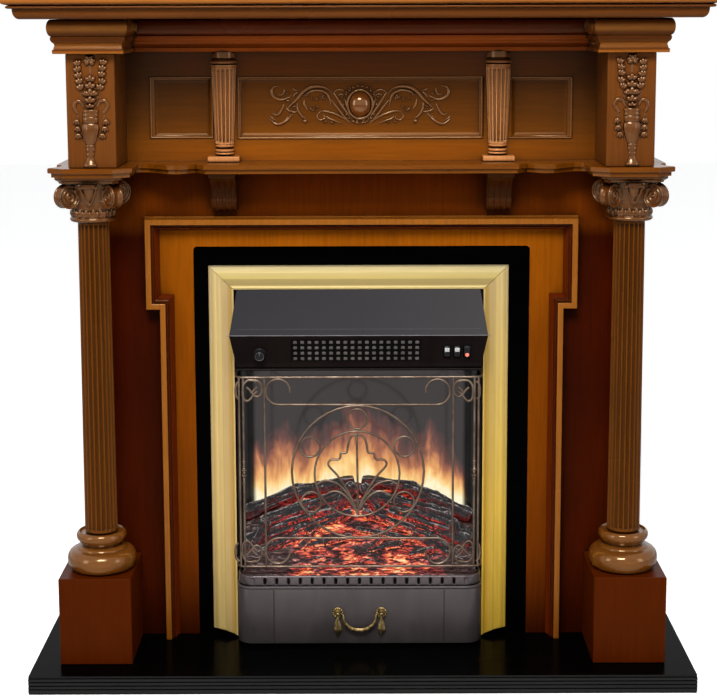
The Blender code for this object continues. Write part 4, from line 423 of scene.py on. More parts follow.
# The top trim's tones by height hold bands of painted reflection.
BRASS_TOP = brushed_brass("brass_top", "trim_top", "Z",
                          [(0, (0.44, 0.34, 0.14)), (0.14, (0.38, 0.3, 0.12)),
                           (0.2, (0.26, 0.19, 0.066)), (0.42, (0.28, 0.21, 0.072)),
                           (0.5, (0.29, 0.225, 0.068)), (0.66, (0.34, 0.268, 0.105)),
                           (0.84, (0.29, 0.235, 0.11)), (1, (0.24, 0.2, 0.105))], LONG_GRAIN, 0.55)
BLACK_STEEL = coated_steel("black_steel", (0.004, 0.0035, 0.004), (0.007, 0.006, 0.007), 0.45, 0.06)
SLOT_BLACK = coated_steel("slot_black", (0.0035, 0.003, 0.003), (0.006, 0.005, 0.005), 0.8, 0)
SEAM_STEEL = coated_steel("seam_steel", (0.02, 0.017, 0.018), (0.03, 0.026, 0.027), 0.5, 0.05)
# Pale steel for the cover's rolled lip: painted highlight.
LINE_STEEL = coated_steel("line_steel", (0.12, 0.11, 0.11), (0.17, 0.155, 0.155), 0.34, 0.4)
OLD_BRASS = old_metal("old_brass", (0.1, 0.065, 0.025), (0.5, 0.36, 0.15), 0.34)
BRONZE = old_metal("bronze", (0.115, 0.08, 0.06), (0.27, 0.2, 0.15), 0.4, worn=0.4, scale=40)
GALVANISED = galvanised()
BLACK_PLASTIC = moulded_plastic("black_plastic", (0.006, 0.006, 0.0065), 0.32, 0.14)
PALE_PLASTIC = moulded_plastic("pale_plastic", (0.42, 0.42, 0.43), 0.38)
PALE_PRINT = moulded_plastic("pale_print", (0.1, 0.095, 0.09), 0.5)
DEEP_BLACK = moulded_plastic("deep_black", (0.002, 0.002, 0.002), 0.8, 0.02)
# Pale steel for the hood's pressed lines and ridge: the paleness is a painted highlight.
PAINTED_HIGHLIGHT_STEEL = coated_steel("painted_highlight_steel", (0.13, 0.125, 0.13), (0.2, 0.19, 0.2), 0.4)
# Brown black of the hood's underside, a painted shade, also on its rolled edge and grille
HOOD_BROWN = coated_steel("hood_brown", (0.0045, 0.003, 0.0028), (0.008, 0.0055, 0.005), 0.4, 0.06)
GRILLE_GREY = coated_steel("grille_grey", (0.05, 0.043, 0.04), (0.1, 0.088, 0.082), 0.45, 0.15)
BAND_STEEL = coated_steel("band_steel", (0.075, 0.06, 0.064), (0.12, 0.098, 0.105), 0.3, 0.3,
                          metallic=0.35)
COVER_STEEL = coated_steel("cover_steel", (0.044, 0.036, 0.037), (0.066, 0.055, 0.055), 0.42, 0.3,
                           metallic=0.25)
HOOD_RIDGE = (-0.045, 0.552)


def hood_steel():
    """Dark grey above the ridge, paler to the right as painted light; brown black below it, a painted
    shade where the sheet faces down.
    """
    look = Look("hood_steel", 0.5, specular=0.1)
    place = look.place()
    smear = look.cloud(look.place((1, 1, 0.4)), 14, 4, 0.8)
    parts = look.split(place)
    above = look.spread(parts["Z"], HOOD_RIDGE[1] - 0.0012, HOOD_RIDGE[1] + 0.0002, 0, 1)
    # Paler towards the right: painted light.
    side = look.spread(parts["X"], -0.2, 0.2, 0, 1)
    grey = look.ramp(side, [(0, (0.019, 0.0185, 0.0225)), (0.5, (0.025, 0.024, 0.028)),
                            (1, (0.037, 0.035, 0.037))])
    # The brown black of the lower face is painted shade.
    brown = look.ramp(smear, [(0.3, (0.005, 0.0032, 0.003)), (0.8, (0.0085, 0.0058, 0.0052))])
    look.put("Base Color", look.blend(above, brown, grey))
    look.put("Specular IOR Level", look.spread(above, 0, 1, 0.02, 0.1))
    look.bump(look.cloud(place, 900, 2), 0.1, 0.00012)
    return look.material


def red_lens():
    """A red window with its lamp on."""
    look = Look("red_lens", 0.2)
    fine = look.cloud(look.place(), 900, 2)
    look.put("Base Color", look.ramp(fine, [(0.3, (0.45, 0.02, 0.02)), (0.7, (0.55, 0.03, 0.02))]))
    look.put("Emission Color", (1, 0.3, 0.18))
    look.put("Emission Strength", 0.9)
    return look.material


def glow_share(look, place):
    """1 in the hot middle of the bed, 0 towards its ends."""
    x = look.split(place)["X"]
    away = look.math("ABSOLUTE", look.math("SUBTRACT", x, MID_X))
    return look.spread(away, 0.155, 0.085, 0, 1)


def charred_bark():
    """Black split logs whose up-turned ridges are pale with ash and painted highlight, and embers in the
    cracks below.
    """
    look = Look("charred_logs", 0.62, specular=0.35)
    place = look.place()
    rough = look.cloud(place, 210, 6, 0.8, 0.62)
    fine = look.cloud(place, 760, 4, 0.5)
    parts = look.split(look.node("NewGeometry").outputs["Normal"])
    level = look.split(place)["Z"]
    # Paler on faces that turn up and on ridges: ash, with painted highlight.
    upward = look.spread(parts["Z"], -0.15, 0.75, 0.25, 1)
    ridge = look.spread(look.node("NewGeometry").outputs["Pointiness"], 0.5, 0.56, 0, 1)
    worn = look.math("ADD", ridge, look.spread(rough, 0.5, 0.68, -0.15, 0.55), clamp=True)
    worn = look.math("MULTIPLY", upward, worn, clamp=True)
    look.put("Base Color", look.ramp(worn, [(0, (0.006, 0.005, 0.006)), (0.45, (0.045, 0.04, 0.042)),
                                            (1, (0.46, 0.43, 0.43))]))
    under = look.spread(parts["Z"], 0.3, -0.45, 0, 1)
    patches = look.spread(rough, 0.44, 0.56, 0, 1)
    low_down = look.spread(level, 0.262, 0.205, 0.15, 1)
    heat = look.math("MULTIPLY", look.math("MULTIPLY", under, patches, clamp=True), low_down, clamp=True)
    heat = look.math("MULTIPLY", heat, look.math("ADD", glow_share(look, place), 0.18), clamp=True)
    look.put("Emission Color", look.ramp(heat, [(0, (0, 0, 0)), (0.25, (0.34, 0.012, 0.01)),
                                                (0.6, (1, 0.11, 0.035)), (1, (1, 0.46, 0.22))]))
    look.put("Emission Strength", 1)
    look.bump(look.math("ADD", rough, look.math("MULTIPLY", fine, 0.4)), 1, 0.003)
    return look.material


def glowing_embers():
    """Red to yellow coals in the middle of the bed, grey and black towards its ends."""
    look = Look("glowing_coals", 0.75, specular=0.2)
    place = look.place()
    parts = look.split(place)
    away = look.math("ABSOLUTE", look.math("SUBTRACT", parts["X"], MID_X))
    folded = look.node("CombineXYZ", {"X": away, "Y": parts["Y"], "Z": parts["Z"]})
    slanted = look.node("Mapping", {"Vector": folded.outputs["Vector"], "Scale": (0.34, 1, 1.25),
                                    "Rotation": (0, radians(-30), 0)}).outputs["Vector"]
    lumps = look.node("TexVoronoi", {"Vector": slanted, "Scale": 120},
                      feature="DISTANCE_TO_EDGE").outputs["Distance"]
    rough = look.cloud(slanted, 170, 6, 0.9, 0.64)
    slow = look.cloud(look.place((1, 1, 1.6)), 21, 2)
    heat = look.math("ADD", look.spread(rough, 0.34, 0.66, -0.1, 0.85),
                     look.spread(slow, 0.36, 0.64, -0.42, 0.22))
    heat = look.math("ADD", heat, look.spread(lumps, 0, 0.16, -0.18, 0.1), clamp=True)
    heat = look.math("MULTIPLY", heat, look.math("ADD", glow_share(look, place), 0.22), clamp=True)
    look.put("Base Color", look.ramp(rough, [(0.38, (0.01, 0.008, 0.008)), (0.55, (0.06, 0.045, 0.044)),
                                             (0.72, (0.4, 0.34, 0.33))]))
    look.put("Emission Color", look.ramp(heat, [(0.18, (0.012, 0.001, 0.001)), (0.36, (0.3, 0.01, 0.009)),
                                                (0.6, (0.86, 0.075, 0.026)), (0.82, (1, 0.3, 0.075)),
                                                (1, (1, 0.72, 0.32))]))
    look.put("Emission Strength", 0.9)
    look.bump(look.math("ADD", rough, look.math("MULTIPLY", lumps, 2)), 0.9, 0.0026)
    return look.material


GLASS_Y = 0.07
FLAME_LOW = spot(358, 512, GLASS_Y).z
FLAME_TALL = spot(358, 402, GLASS_Y).z - FLAME_LOW
FLAME_CREST = ((243, 0.1), (251, 0.56), (262, 0.7), (275, 0.76), (284, 0.82), (288, 0.88),
               (293, 0.76), (303, 0.72), (318, 0.8), (334, 0.9), (346, 1), (357, 1.06),
               (368, 1), (384, 0.92), (398, 0.82), (412, 0.74), (424, 0.74), (431, 0.88),
               (436, 0.82), (444, 0.68), (455, 0.6), (464, 0.46), (472, 0.1))


def flame_picture():
    """Smoked glass with the flames that the spindle throws on it."""
    look = Look("flame_glass", 0.12, specular=0.28)
    parts = look.split()
    x, z = parts["X"], parts["Z"]
    sway = look.cloud(look.place((1, 0, 0.6)), 24, 2, 0.2)
    wisps = look.cloud(look.place((1, 0, 0.3)), 58, 3, 0.9)
    across = look.math("ADD", x, look.spread(sway, 0.3, 0.7, -0.008, 0.008))
    left, right = (spot(px, 480, GLASS_Y).x for px in (FLAME_CREST[0][0], FLAME_CREST[-1][0]))
    share = look.spread(across, left, right, 0, 1)
    span = FLAME_CREST[-1][0] - FLAME_CREST[0][0]
    crest = look.grey_ramp(share, [((px - FLAME_CREST[0][0]) / span, tone) for px, tone in FLAME_CREST])
    tall = look.math("MULTIPLY", crest, FLAME_TALL)
    level = look.math("DIVIDE", look.math("SUBTRACT", z, FLAME_LOW), tall)
    level = look.math("ADD", level, look.spread(wisps, 0.3, 0.7, -0.08, 0.1))
    level = look.math("ADD", level, look.spread(sway, 0.3, 0.7, 0.09, -0.09))
    colour = look.ramp(level, [(0, (1, 0.97, 0.84)), (0.24, (1, 0.92, 0.62)),
                               (0.38, (1, 0.66, 0.25)), (0.52, (0.8, 0.36, 0.12)),
                               (0.66, (0.4, 0.14, 0.07)), (0.8, (0.13, 0.05, 0.042)),
                               (1, (0.034, 0.028, 0.028))])
    edge = look.math("ABSOLUTE", look.math("SUBTRACT", x, MID_X))
    lit = look.grey_ramp(look.spread(edge, 0.172, 0.182, 0, 1), [(0, 1), (0.6, 0.06), (1, 0.01)])
    look.put("Base Color", (0.003, 0.003, 0.003))
    look.put("Emission Color", look.blend(1, colour, lit, "MULTIPLY"))
    look.put("Emission Strength", 1)
    return look.material


def circuit_board():
    """Green board with paler tracks."""
    look = Look("circuit_board", 0.45)
    tracks = look.node("TexBrick", {"Vector": look.place(), "Scale": 60,
                                    "Color1": (0.012, 0.1, 0.035), "Color2": (0.018, 0.13, 0.045),
                                    "Mortar": (0.1, 0.22, 0.06), "Mortar Size": 0.012})
    look.put("Base Color", tracks.outputs["Color"])
    return look.material


RED_LENS = red_lens()
CHARRED = charred_bark()
EMBERS = glowing_embers()
FLAMES = flame_picture()
CIRCUIT = circuit_board()
HOOD_STEEL = hood_steel()


# Mesh helpers

def oval_arc(centre, wide, high, start, end, count):
    """Points on an ellipse, angles in degrees."""
    turned = [radians(start + (end - start) * share) for share in shares(count)]
    return [(centre[0] + wide * cos(a), centre[1] + high * sin(a)) for a in turned]


SIDES = ((-1, "left"), (1, "right"))


def piece(name, shape, look, body="suite", instead_of=(), sharp=38):
    """Turns a shape into an object with its material, its body and the nodes it stands for."""
    bmesh.ops.recalc_face_normals(shape, faces=shape.faces)
    mesh = bpy.data.meshes.new(name)
    shape.to_mesh(mesh)
    shape.free()
    mesh.shade_smooth()
    mesh.set_sharp_from_angle(angle=radians(sharp))
    mesh.materials.append(look)
    obj = bpy.data.objects.new(name, mesh)
    bpy.context.scene.collection.objects.link(obj)
    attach(obj, body)
    if instead_of:
        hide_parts(*instead_of)
    return obj


def carved(name, shape, voxel, look, instead_of, passes):
    """Melts overlapping forms into one carved surface."""
    obj = piece(name, shape, look, instead_of=instead_of, sharp=180)
    melt = obj.modifiers.new("melt", "REMESH")
    melt.mode = "VOXEL"
    melt.voxel_size = voxel
    melt.use_smooth_shade = True
    ease = obj.modifiers.new("ease", "SMOOTH")
    ease.factor = 0.5
    ease.iterations = passes


def add_loft(shape, rings, caps=True):
    """Adds a skin through rings of points, each with the same number of points."""
    rows = [[shape.verts.new(point) for point in ring] for ring in rings]
    count = len(rows[0])
    for near, far in zip(rows, rows[1:]):
        for i in range(count):
            j = (i + 1) % count
            shape.faces.new((near[i], near[j], far[j], far[i]))
    if caps:
        shape.faces.new(rows[0])
        shape.faces.new(rows[-1])
    return shape


def add_skin(shape, rings, place=None):
    return absorb(shape, add_loft(bmesh.new(), rings), place)


def add_lathe(shape, profile, place=None, steps=64):
    """A form turned about a Z axis, from the (radius, height) pairs of a profile."""
    rings = []
    for radius, height in profile:
        reach = max(radius, 0.00005)
        rings.append([(reach * cos(a), reach * sin(a), height) for a in angles(steps)])
    return add_skin(shape, rings, place)


def absorb(shape, made, place=None):
    """Adds one bmesh to another, moved by a matrix."""
    if place is not None:
        bmesh.ops.transform(made, matrix=place, verts=made.verts)
    bmesh.ops.recalc_face_normals(made, faces=made.faces)
    mesh = bpy.data.meshes.new("part")
    made.to_mesh(mesh)
    made.free()
    shape.from_mesh(mesh)
    bpy.data.meshes.remove(mesh)
    return shape


def smooth_path(points, fine=6, closed=False):
    """A Catmull-Rom curve through the points."""
    points = [Vector(p) for p in points]
    count = len(points)
    result = []
    spans = count if closed else count - 1
    for i in range(spans):
        if closed:
            a, b, c, d = (points[(i + k) % count] for k in (-1, 0, 1, 2))
        else:
            a, b = points[max(i - 1, 0)], points[i]
            c, d = points[i + 1], points[min(i + 2, count - 1)]
        for k in range(fine):
            t = k / fine
            result.append(0.5 * (2 * b + (c - a) * t + (2 * a - 5 * b + 4 * c - d) * t * t
                                 + (3 * b - a - 3 * c + d) * t ** 3))
    if not closed:
        result.append(points[-1])
    return result


def add_tube(shape, points, radius, sides=10, closed=False, flat=None, fine=6):
    """A round or flattened bar along a path; radius is a number or a function of 0..1."""
    path = smooth_path(points, fine, closed)
    count = len(path)
    rings = []
    side = None
    for i, here in enumerate(path):
        ahead = path[(i + 1) % count] if closed or i + 1 < count else here
        behind = path[i - 1] if closed or i > 0 else here
        along = (ahead - behind).normalized()
        if side is None:
            side = along.orthogonal().normalized()
        side = (side - along * side.dot(along)).normalized()
        if flat is not None:
            side = along.cross(flat).normalized()
        up = along.cross(side)
        wide = radius(i / max(count - 1, 1)) if callable(radius) else radius
        thick = wide if flat is None else wide * flat.length
        rings.append([here + side * wide * cos(a) + up * thick * sin(a) for a in angles(sides)])
    if closed:
        rings.append(rings[0])
    made = bmesh.new()
    add_loft(made, rings, caps=not closed)
    if closed:
        bmesh.ops.remove_doubles(made, verts=made.verts, dist=0.000001)
    return absorb(shape, made)


def add_rod(shape, start, end, radius, sides=10):
    return add_tube(shape, [start, end], radius, sides=sides, fine=1)


def cut_behind(shape, y):
    """Takes away what lies behind a plane of this Y."""
    bmesh.ops.bisect_plane(shape, geom=shape.verts[:] + shape.edges[:] + shape.faces[:],
                           plane_co=(0, y, 0), plane_no=(0, 1, 0), clear_outer=True)


def close_holes(shape):
    bmesh.ops.holes_fill(shape, edges=[e for e in shape.edges if e.is_boundary])
    bmesh.ops.triangulate(shape, faces=[f for f in shape.faces if len(f.verts) > 4])


def add_ball(shape, centre, size, turn=None, wide=20, tall=12):
    made = bmesh.new()
    bmesh.ops.create_uvsphere(made, u_segments=wide, v_segments=tall, radius=1)
    place = Matrix.Translation(centre)
    if turn is not None:
        place = place @ turn.to_4x4()
    return absorb(shape, made, place @ Matrix.Diagonal((*size, 1)))


def add_box(shape, low, high, ease=0, place=None):
    made = bmesh.new()
    bmesh.ops.create_cube(made, size=1)
    low, high = Vector(low), Vector(high)
    bmesh.ops.transform(made, matrix=Matrix.Diagonal((*(high - low), 1)), verts=made.verts)
    bmesh.ops.translate(made, vec=(low + high) / 2, verts=made.verts)
    if ease:
        bmesh.ops.bevel(made, geom=made.edges[:], offset=ease, segments=3, affect="EDGES", profile=0.5)
    return absorb(shape, made, place)


def taper(wide, start=0.25, end=0.15):
    """A stroke's half width: it swells from a thin start and thins out again."""
    def width(share):
        rise = start + (1 - start) * sin(pi / 2 * min(1, share / 0.45))
        fall = end + (1 - end) * sin(pi / 2 * min(1, (1 - share) / 0.45))
        return wide * rise * fall
    return width


# Columns

COLUMN_X = 0.421
COLUMN_Y = from_wall(0.232)
FOOT_RADIUS, HEAD_RADIUS = 0.026, 0.0243


def column_base(side, label):
    """A broad low ring, a stepped hollow and a smaller ring that cups the shaft's foot."""
    node = "column_base_" + label
    low, top = heights(node)
    lip = 0.04
    wide = 0.055
    profile = mm(((0, -3), (26.2, -3), (30, -3.6), (33, -2.2)), top)
    profile += oval_arc((lip - 0.006, top - 0.0082), 0.0058, 0.008, 80, -40, 14)
    profile += mm(((35, -17.5), (31.8, -20.5), (31.2, -22.2), (34.5, -23.8), (37.2, -25),
                   (39.2, -26.8), (39.6, -28.2), (41.2, -29)), top)
    profile += oval_arc((wide - 0.0135, low + 0.019), 0.0134, 0.0155, 78, 0, 14)
    profile += oval_arc((wide - 0.01, low + 0.019), 0.0099, 0.018, -4, -74, 12)
    profile += mm(((44, 0.2), (0, 0.2)), low)
    place = Matrix.Translation((side * COLUMN_X, COLUMN_Y, 0))
    shape = add_lathe(bmesh.new(), profile, place, steps=96)
    piece("turned_base_" + label, shape, WOOD_RINGED, instead_of=(node,), sharp=42)


def flute_reach(share, level, low, top, width):
    """How deep a flute is at a share of its width and at a level, with rounded ends."""
    end = min(level - low, top - level)
    if end <= 0:
        return 0
    close = 1 if end >= width else sqrt(1 - (1 - end / width) ** 2)
    open_half = 0.5 * close
    offset = abs(share - 0.5)
    if offset >= open_half:
        return 0
    return close * sqrt(max(0, 1 - (offset / open_half) ** 2)) ** 0.8


def fluted_rings(centre, radii, levels, flutes, depth, ends, fillet):
    """Rings of a fluted shaft; each flute sinks between flat fillets and closes at its ends."""
    points, pitch = 9, 2 * pi / flutes
    rings = []
    for level in levels:
        share_up = (level - levels[0]) / (levels[-1] - levels[0])
        radius = radii[0] + (radii[1] - radii[0]) * share_up
        ring = []
        for i in range(flutes * points):
            share = i % points / points
            across = (share - fillet / 2) / (1 - fillet)
            reach = radius - depth * flute_reach(across, level, *ends, radius * pitch * 0.4)
            angle = pitch * (i // points + share - 0.5)
            ring.append((centre[0] + reach * cos(angle), centre[1] + reach * sin(angle), level))
        rings.append(ring)
    return rings


def shaft_levels(low, top, end_span):
    """Close together where the flutes end, far apart between."""
    near = [low + end_span * share for share in shares(10)]
    far = [top - end_span * share for share in reversed(shares(10))]
    return near + [near[-1] + (far[0] - near[-1]) * share for share in shares(6)[1:-1]] + far


def column_shaft(side, label):
    node = "column_shaft_" + label
    low, top = heights(node)
    levels = shaft_levels(low, top, 0.014)
    rings = fluted_rings((side * COLUMN_X, COLUMN_Y), (FOOT_RADIUS, HEAD_RADIUS), levels, FLUTES,
                         0.0032, (low + 0.003, top - 0.003), fillet=0.28)
    shape = add_loft(bmesh.new(), rings)
    piece("fluted_shaft_" + label, shape, WOOD_TURNED, instead_of=(node,), sharp=55)


# Capital, in its own coordinates about the column's axis

SCROLL_REACH = 0.049
SCROLL_RADIUS = 0.0185
SCROLL_HALF = 0.01


def scroll_path(face):
    """A spiral line on one face of a scroll, from its top inwards; face is its distance out."""
    turns = 2.4
    path = []
    for share in shares(44):
        angle = pi / 2 - 2 * pi * turns * share
        reach = (SCROLL_RADIUS - 0.0016) * (1 - share) ** 0.85 + 0.0018
        path.append((reach * cos(angle), face, reach * sin(angle)))
    return path


def add_scroll(shape, diagonal, level):
    """One corner scroll: a waisted drum with a raised spiral on each face."""
    turn = Matrix.Rotation(diagonal, 4, "Z")
    place = Matrix.Translation((0, 0, level)) @ turn @ Matrix.Translation((SCROLL_REACH, 0, 0))
    drum = bmesh.new()
    rim = SCROLL_RADIUS
    profile = [(0, SCROLL_HALF - 0.003), (rim - 0.0022, SCROLL_HALF - 0.003),
               (rim - 0.0015, SCROLL_HALF - 0.0002), (rim, SCROLL_HALF - 0.0006),
               (rim - 0.0004, SCROLL_HALF - 0.003), (rim - 0.0024, 0)]
    profile += [(radius, -height) for radius, height in reversed(profile[:-1])]
    add_lathe(drum, profile, Matrix.Rotation(pi / 2, 4, "X"), steps=56)
    for end in (-1, 1):
        add_tube(drum, scroll_path(end * (SCROLL_HALF - 0.0026)),
                 lambda share: 0.00165 - 0.0004 * share, sides=8, fine=1)
        add_ball(drum, (0, end * (SCROLL_HALF - 0.0022), 0), (0.0024, 0.0022, 0.0024))
    absorb(shape, drum, place)
    inward = [Vector((SCROLL_REACH * share, 0, level + rise)) for share, rise in
              ((0.98, 0.0148), (0.75, 0.015), (0.52, 0.0138), (0.35, 0.012))]
    add_tube(shape, [turn @ point for point in inward], 0.0085, sides=14, flat=Vector((0, 0, 0.38)))


def add_capital_face(shape, angle, top, level):
    """The cap with two small curls and the faceted drop below it, on one face."""
    made = bmesh.new()
    reach = 0.0455
    add_box(made, (0.03, -0.0125, top - 0.0085), (reach, 0.0125, top - 0.0005), ease=0.0022)
    for end in (-1, 1):
        add_ball(made, (reach - 0.001, end * 0.0128, top - 0.0058), (0.0034, 0.0036, 0.0032))
        edge = [(reach - 0.002, end * 0.012, top - 0.009), (reach - 0.006, end * 0.007, level - 0.002),
                (reach - 0.01, end * 0.0012, level - 0.014)]
        add_tube(made, edge, 0.0015, sides=8)
    rings = []
    for half, out, height in ((0.01, reach - 0.002, top - 0.008), (0.0062, reach - 0.004, level),
                              (0.0006, reach - 0.01, level - 0.015)):
        rings.append([(0.028, -half, height), (out - 0.003, -half, height), (out, 0, height),
                      (out - 0.003, half, height), (0.028, half, height)])
    add_loft(made, rings)
    return absorb(shape, made, Matrix.Rotation(angle, 4, "Z"))


def add_neck_leaves(shape, low):
    """A fringe of upright leaf tips round the neck, in two rows."""
    count = 18
    for angle in angles(count):
        turn = Matrix.Rotation(angle, 4, "Z")
        for shift, high, wide, out in ((0, 0.0072, 0.0034, 0.0322),
                                       (pi / count, 0.0052, 0.0028, 0.034)):
            leaf = bmesh.new()
            add_ball(leaf, (out, 0, low + 0.0105 + high * 0.62), (0.0023, wide, high), wide=10, tall=8)
            absorb(shape, leaf, turn @ Matrix.Rotation(shift, 4, "Z"))


def capital(side, label):
    node = "capital_" + label
    low, top = heights(node)
    level = low + 0.0415
    slab_low = top - 0.011
    shape = bmesh.new()
    ring_high = 0.0045
    profile = mm(((0, 1), (39.5, 1)), slab_low) + mm(((40, 10), (31, -12)), level)
    profile += mm(((30, 12.5), (33.7, 11.8), (34.5, 10.5), (33.1, 9)), low)
    profile += oval_arc((0.0362 - ring_high, low + ring_high), ring_high, ring_high - 0.0003, 80,
                        -80, 14)
    profile += mm(((30, 0.2), (0, 0.2)), low)
    add_lathe(shape, profile, steps=72)
    add_abacus(shape, slab_low, top)
    for i in range(4):
        add_scroll(shape, radians(45 + 90 * i), level)
        add_capital_face(shape, radians(90 * i), slab_low, level)
    add_neck_leaves(shape, low)
    bmesh.ops.translate(shape, vec=(side * COLUMN_X, COLUMN_Y, 0), verts=shape.verts)
    carved("carved_capital_" + label, shape, 0.00075, WOOD_CARVED,
           instead_of=(node,), passes=2)


def add_abacus(shape, low, top):
    """The hollow sided slab on top, with a fillet over a cove."""
    half, corner = 0.052, 0.009
    profile = mm(((6, 0), (5.2, 3)), low)
    profile += mm(((2.5, -6.2), (1, -5), (0.2, -4.4), (0.2, -0.6), (0.8, -0.1)), top)
    rings = []
    for shrink, height in profile:
        ring = []
        for quarter in range(4):
            turn = Matrix.Rotation(quarter * pi / 2, 3, "Z")
            for share in shares(14):
                along = (2 * share - 1) * (half - shrink - corner)
                reach = half - shrink - 0.0065 * sin(pi * share)
                ring.append(turn @ Vector((reach, along, height)))
        rings.append(ring)
    add_loft(shape, rings)


# Mouldings of the mantel

BOX_FRONT, FRIEZE_FACE, FRIEZE_BACK = 0.29, 0.17, 0.152
BOX_X, BOX_HALF = 0.411, 0.037
HALF_COLUMN_X = 0.218


def cornice_profile(low, top):
    """How far the moulding stands out at each level: fillet, cove, fillet, torus."""
    profile = mm(((15.8, 0), (16.6, 0.6), (16.8, 6), (15, 6.4)), low)
    profile += oval_arc((0.0215, low + 0.0125), 0.008, 0.006, 205, 125, 10)
    profile += mm(((18.2, 19.8), (18.8, 20.4), (19, 24.8), (17.8, 25.6)), low)
    torus_low = low + 0.0262
    middle, half = (torus_low + top) / 2, (top - torus_low) / 2
    return profile + oval_arc((0.0175, middle), 0.006, half, -82, 90, 18)


def block_rings(profile, inner, outer, front_depth, back_y):
    """Rings of a block that stands out by the profile; inner and outer are (edge, way out)."""
    rings = []
    for rise, height in profile:
        left, right = sorted((inner[0] + inner[1] * rise, outer[0] + outer[1] * rise))
        front = from_wall(front_depth + rise)
        rings.append([(x, y, height) for x, y in ((left, front), (right, front), (right, back_y),
                                                  (left, back_y))])
    return rings


def cornice():
    low, top = heights("cornice_centre")[0], heights("mantel_top")[0] - 0.0001
    profile = cornice_profile(low, top)
    back = from_wall(FRIEZE_BACK)
    half = BOX_X - BOX_HALF - 0.0004
    shape = add_loft(bmesh.new(), block_rings(profile, (-half, 1), (half, -1), FRIEZE_FACE, back))
    piece("cornice_run", shape, WOOD_RUN, instead_of=("cornice_centre",), sharp=30)
    for side, label in SIDES:
        rings = block_rings(profile, (side * (BOX_X - BOX_HALF), -side),
                            (side * (BOX_X + BOX_HALF), side), BOX_FRONT, back)
        piece("cornice_break_" + label, add_loft(bmesh.new(), rings), WOOD_BLOCK,
              instead_of=("cornice_block_" + label,), sharp=30)


def mantel_board():
    """The top board, with a bead and a quarter round under it."""
    low, top = heights("mantel_top")
    reach = 0.08
    profile = oval_arc((reach - 0.024, low + 0.0133), 0.009, 0.013, -88, 0, 14)
    profile += mm(((65.2, 14), (65.4, 15.5), (69.2, 15.6)), low)
    profile += oval_arc((reach - 0.0102, low + 0.018), 0.0034, 0.0023, -90, 90, 10)
    profile += mm(((69.6, 20.6), (73.8, 21.4)), low)
    profile += oval_arc((reach - 0.006, low + 0.0265), 0.0059, 0.0048, -80, 0, 8)
    profile += oval_arc((reach - 0.004, top - 0.0042), 0.0039, 0.0041, 0, 90, 8)
    rings = block_rings(profile, (-(BOX_X + BOX_HALF), -1), (BOX_X + BOX_HALF, 1), BOX_FRONT, WALL_Y)
    piece("top_board", add_loft(bmesh.new(), rings), WOOD_TOP,
          instead_of=("mantel_top",), sharp=30)


# Distance from the outer edge and rise over the board
FACE_SECTION = mm(((0, 0), (0, 4.8), (0.4, 6.2), (1, 6.6), (1.3, 8), (1.5, 13), (1.9, 20), (2.3, 25),
                   (2.4, 26.8), (3, 27.7), (10.7, 27.7), (11.4, 27.2), (11.5, 26.2), (11.5, 0)))
GROOVE_SECTION = mm(((11.6, 0), (11.6, 20.5), (12.2, 19), (13.3, 18.8), (13.8, 21.4), (14.6, 21.8),
                     (15, 20.6), (15.3, 15), (16.7, 14.2), (17.2, 16), (18, 15.8), (18.4, 9),
                     (20.5, 5), (22.9, 1.5), (22.9, 0)))
EAR_LOW, EAR_REACH = 0.584, 0.022


def moulding_path(inward):
    """The corners of a line round the opening, this far in from the outer edge."""
    low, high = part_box("architrave")
    half, step = high.x - inward, EAR_LOW + inward
    leg = high.x - EAR_REACH - inward
    side = [(leg, low.z), (leg, step), (half, step), (half, high.z - inward)]
    return [(-x, z) for x, z in side] + [(x, z) for x, z in reversed(side)]


def architrave_moulding():
    """A beaded edge, a cove and a flat face, then two dark stepped grooves."""
    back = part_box("architrave")[1].y
    for name, section, look in (("architrave_face", FACE_SECTION, WOOD_ARCHITRAVE),
                                ("architrave_grooves", GROOVE_SECTION, WOOD_GROOVE)):
        lines = [moulding_path(inward) for inward, _ in section]
        rings = [[(line[i][0], back - rise, line[i][1]) for line, (_, rise) in zip(lines, section)]
                 for i in range(len(lines[0]))]
        piece(name, add_loft(bmesh.new(), rings), look, instead_of=("architrave",), sharp=40)


FIELD_FRAMES = ((149, 214), (237, 482.5), (506.5, 572))
FIELD_TOP_PX, FIELD_LOW_PX = 76.5, 138.5


def field_frames():
    """A small rounded moulding round each sunk field of the frieze."""
    face = from_wall(FRIEZE_FACE)
    section = mm(((0, 0), (0, 0.8), (0.8, 1.7), (2, 1.8), (3.1, 0.9), (3.6, -0.4), (4.4, -1.6),
                  (5.2, -1.8), (5.2, -2.4)))
    shape = bmesh.new()
    for left_px, right_px in FIELD_FRAMES:
        upper, lower = spot(left_px, FIELD_TOP_PX, face), spot(right_px, FIELD_LOW_PX, face)
        rings = [[(lower.x - inward if across else upper.x + inward, face - 0.0002 - rise,
                   lower.z + inward if down else upper.z - inward) for inward, rise in section]
                 for across, down in ((0, 0), (1, 0), (1, 1), (0, 1), (0, 0))]
        made = bmesh.new()
        add_loft(made, rings, caps=False)
        bmesh.ops.remove_doubles(made, verts=made.verts, dist=0.000001)
        absorb(shape, made)
    piece("field_frames", shape, WOOD_FRAME, sharp=50)


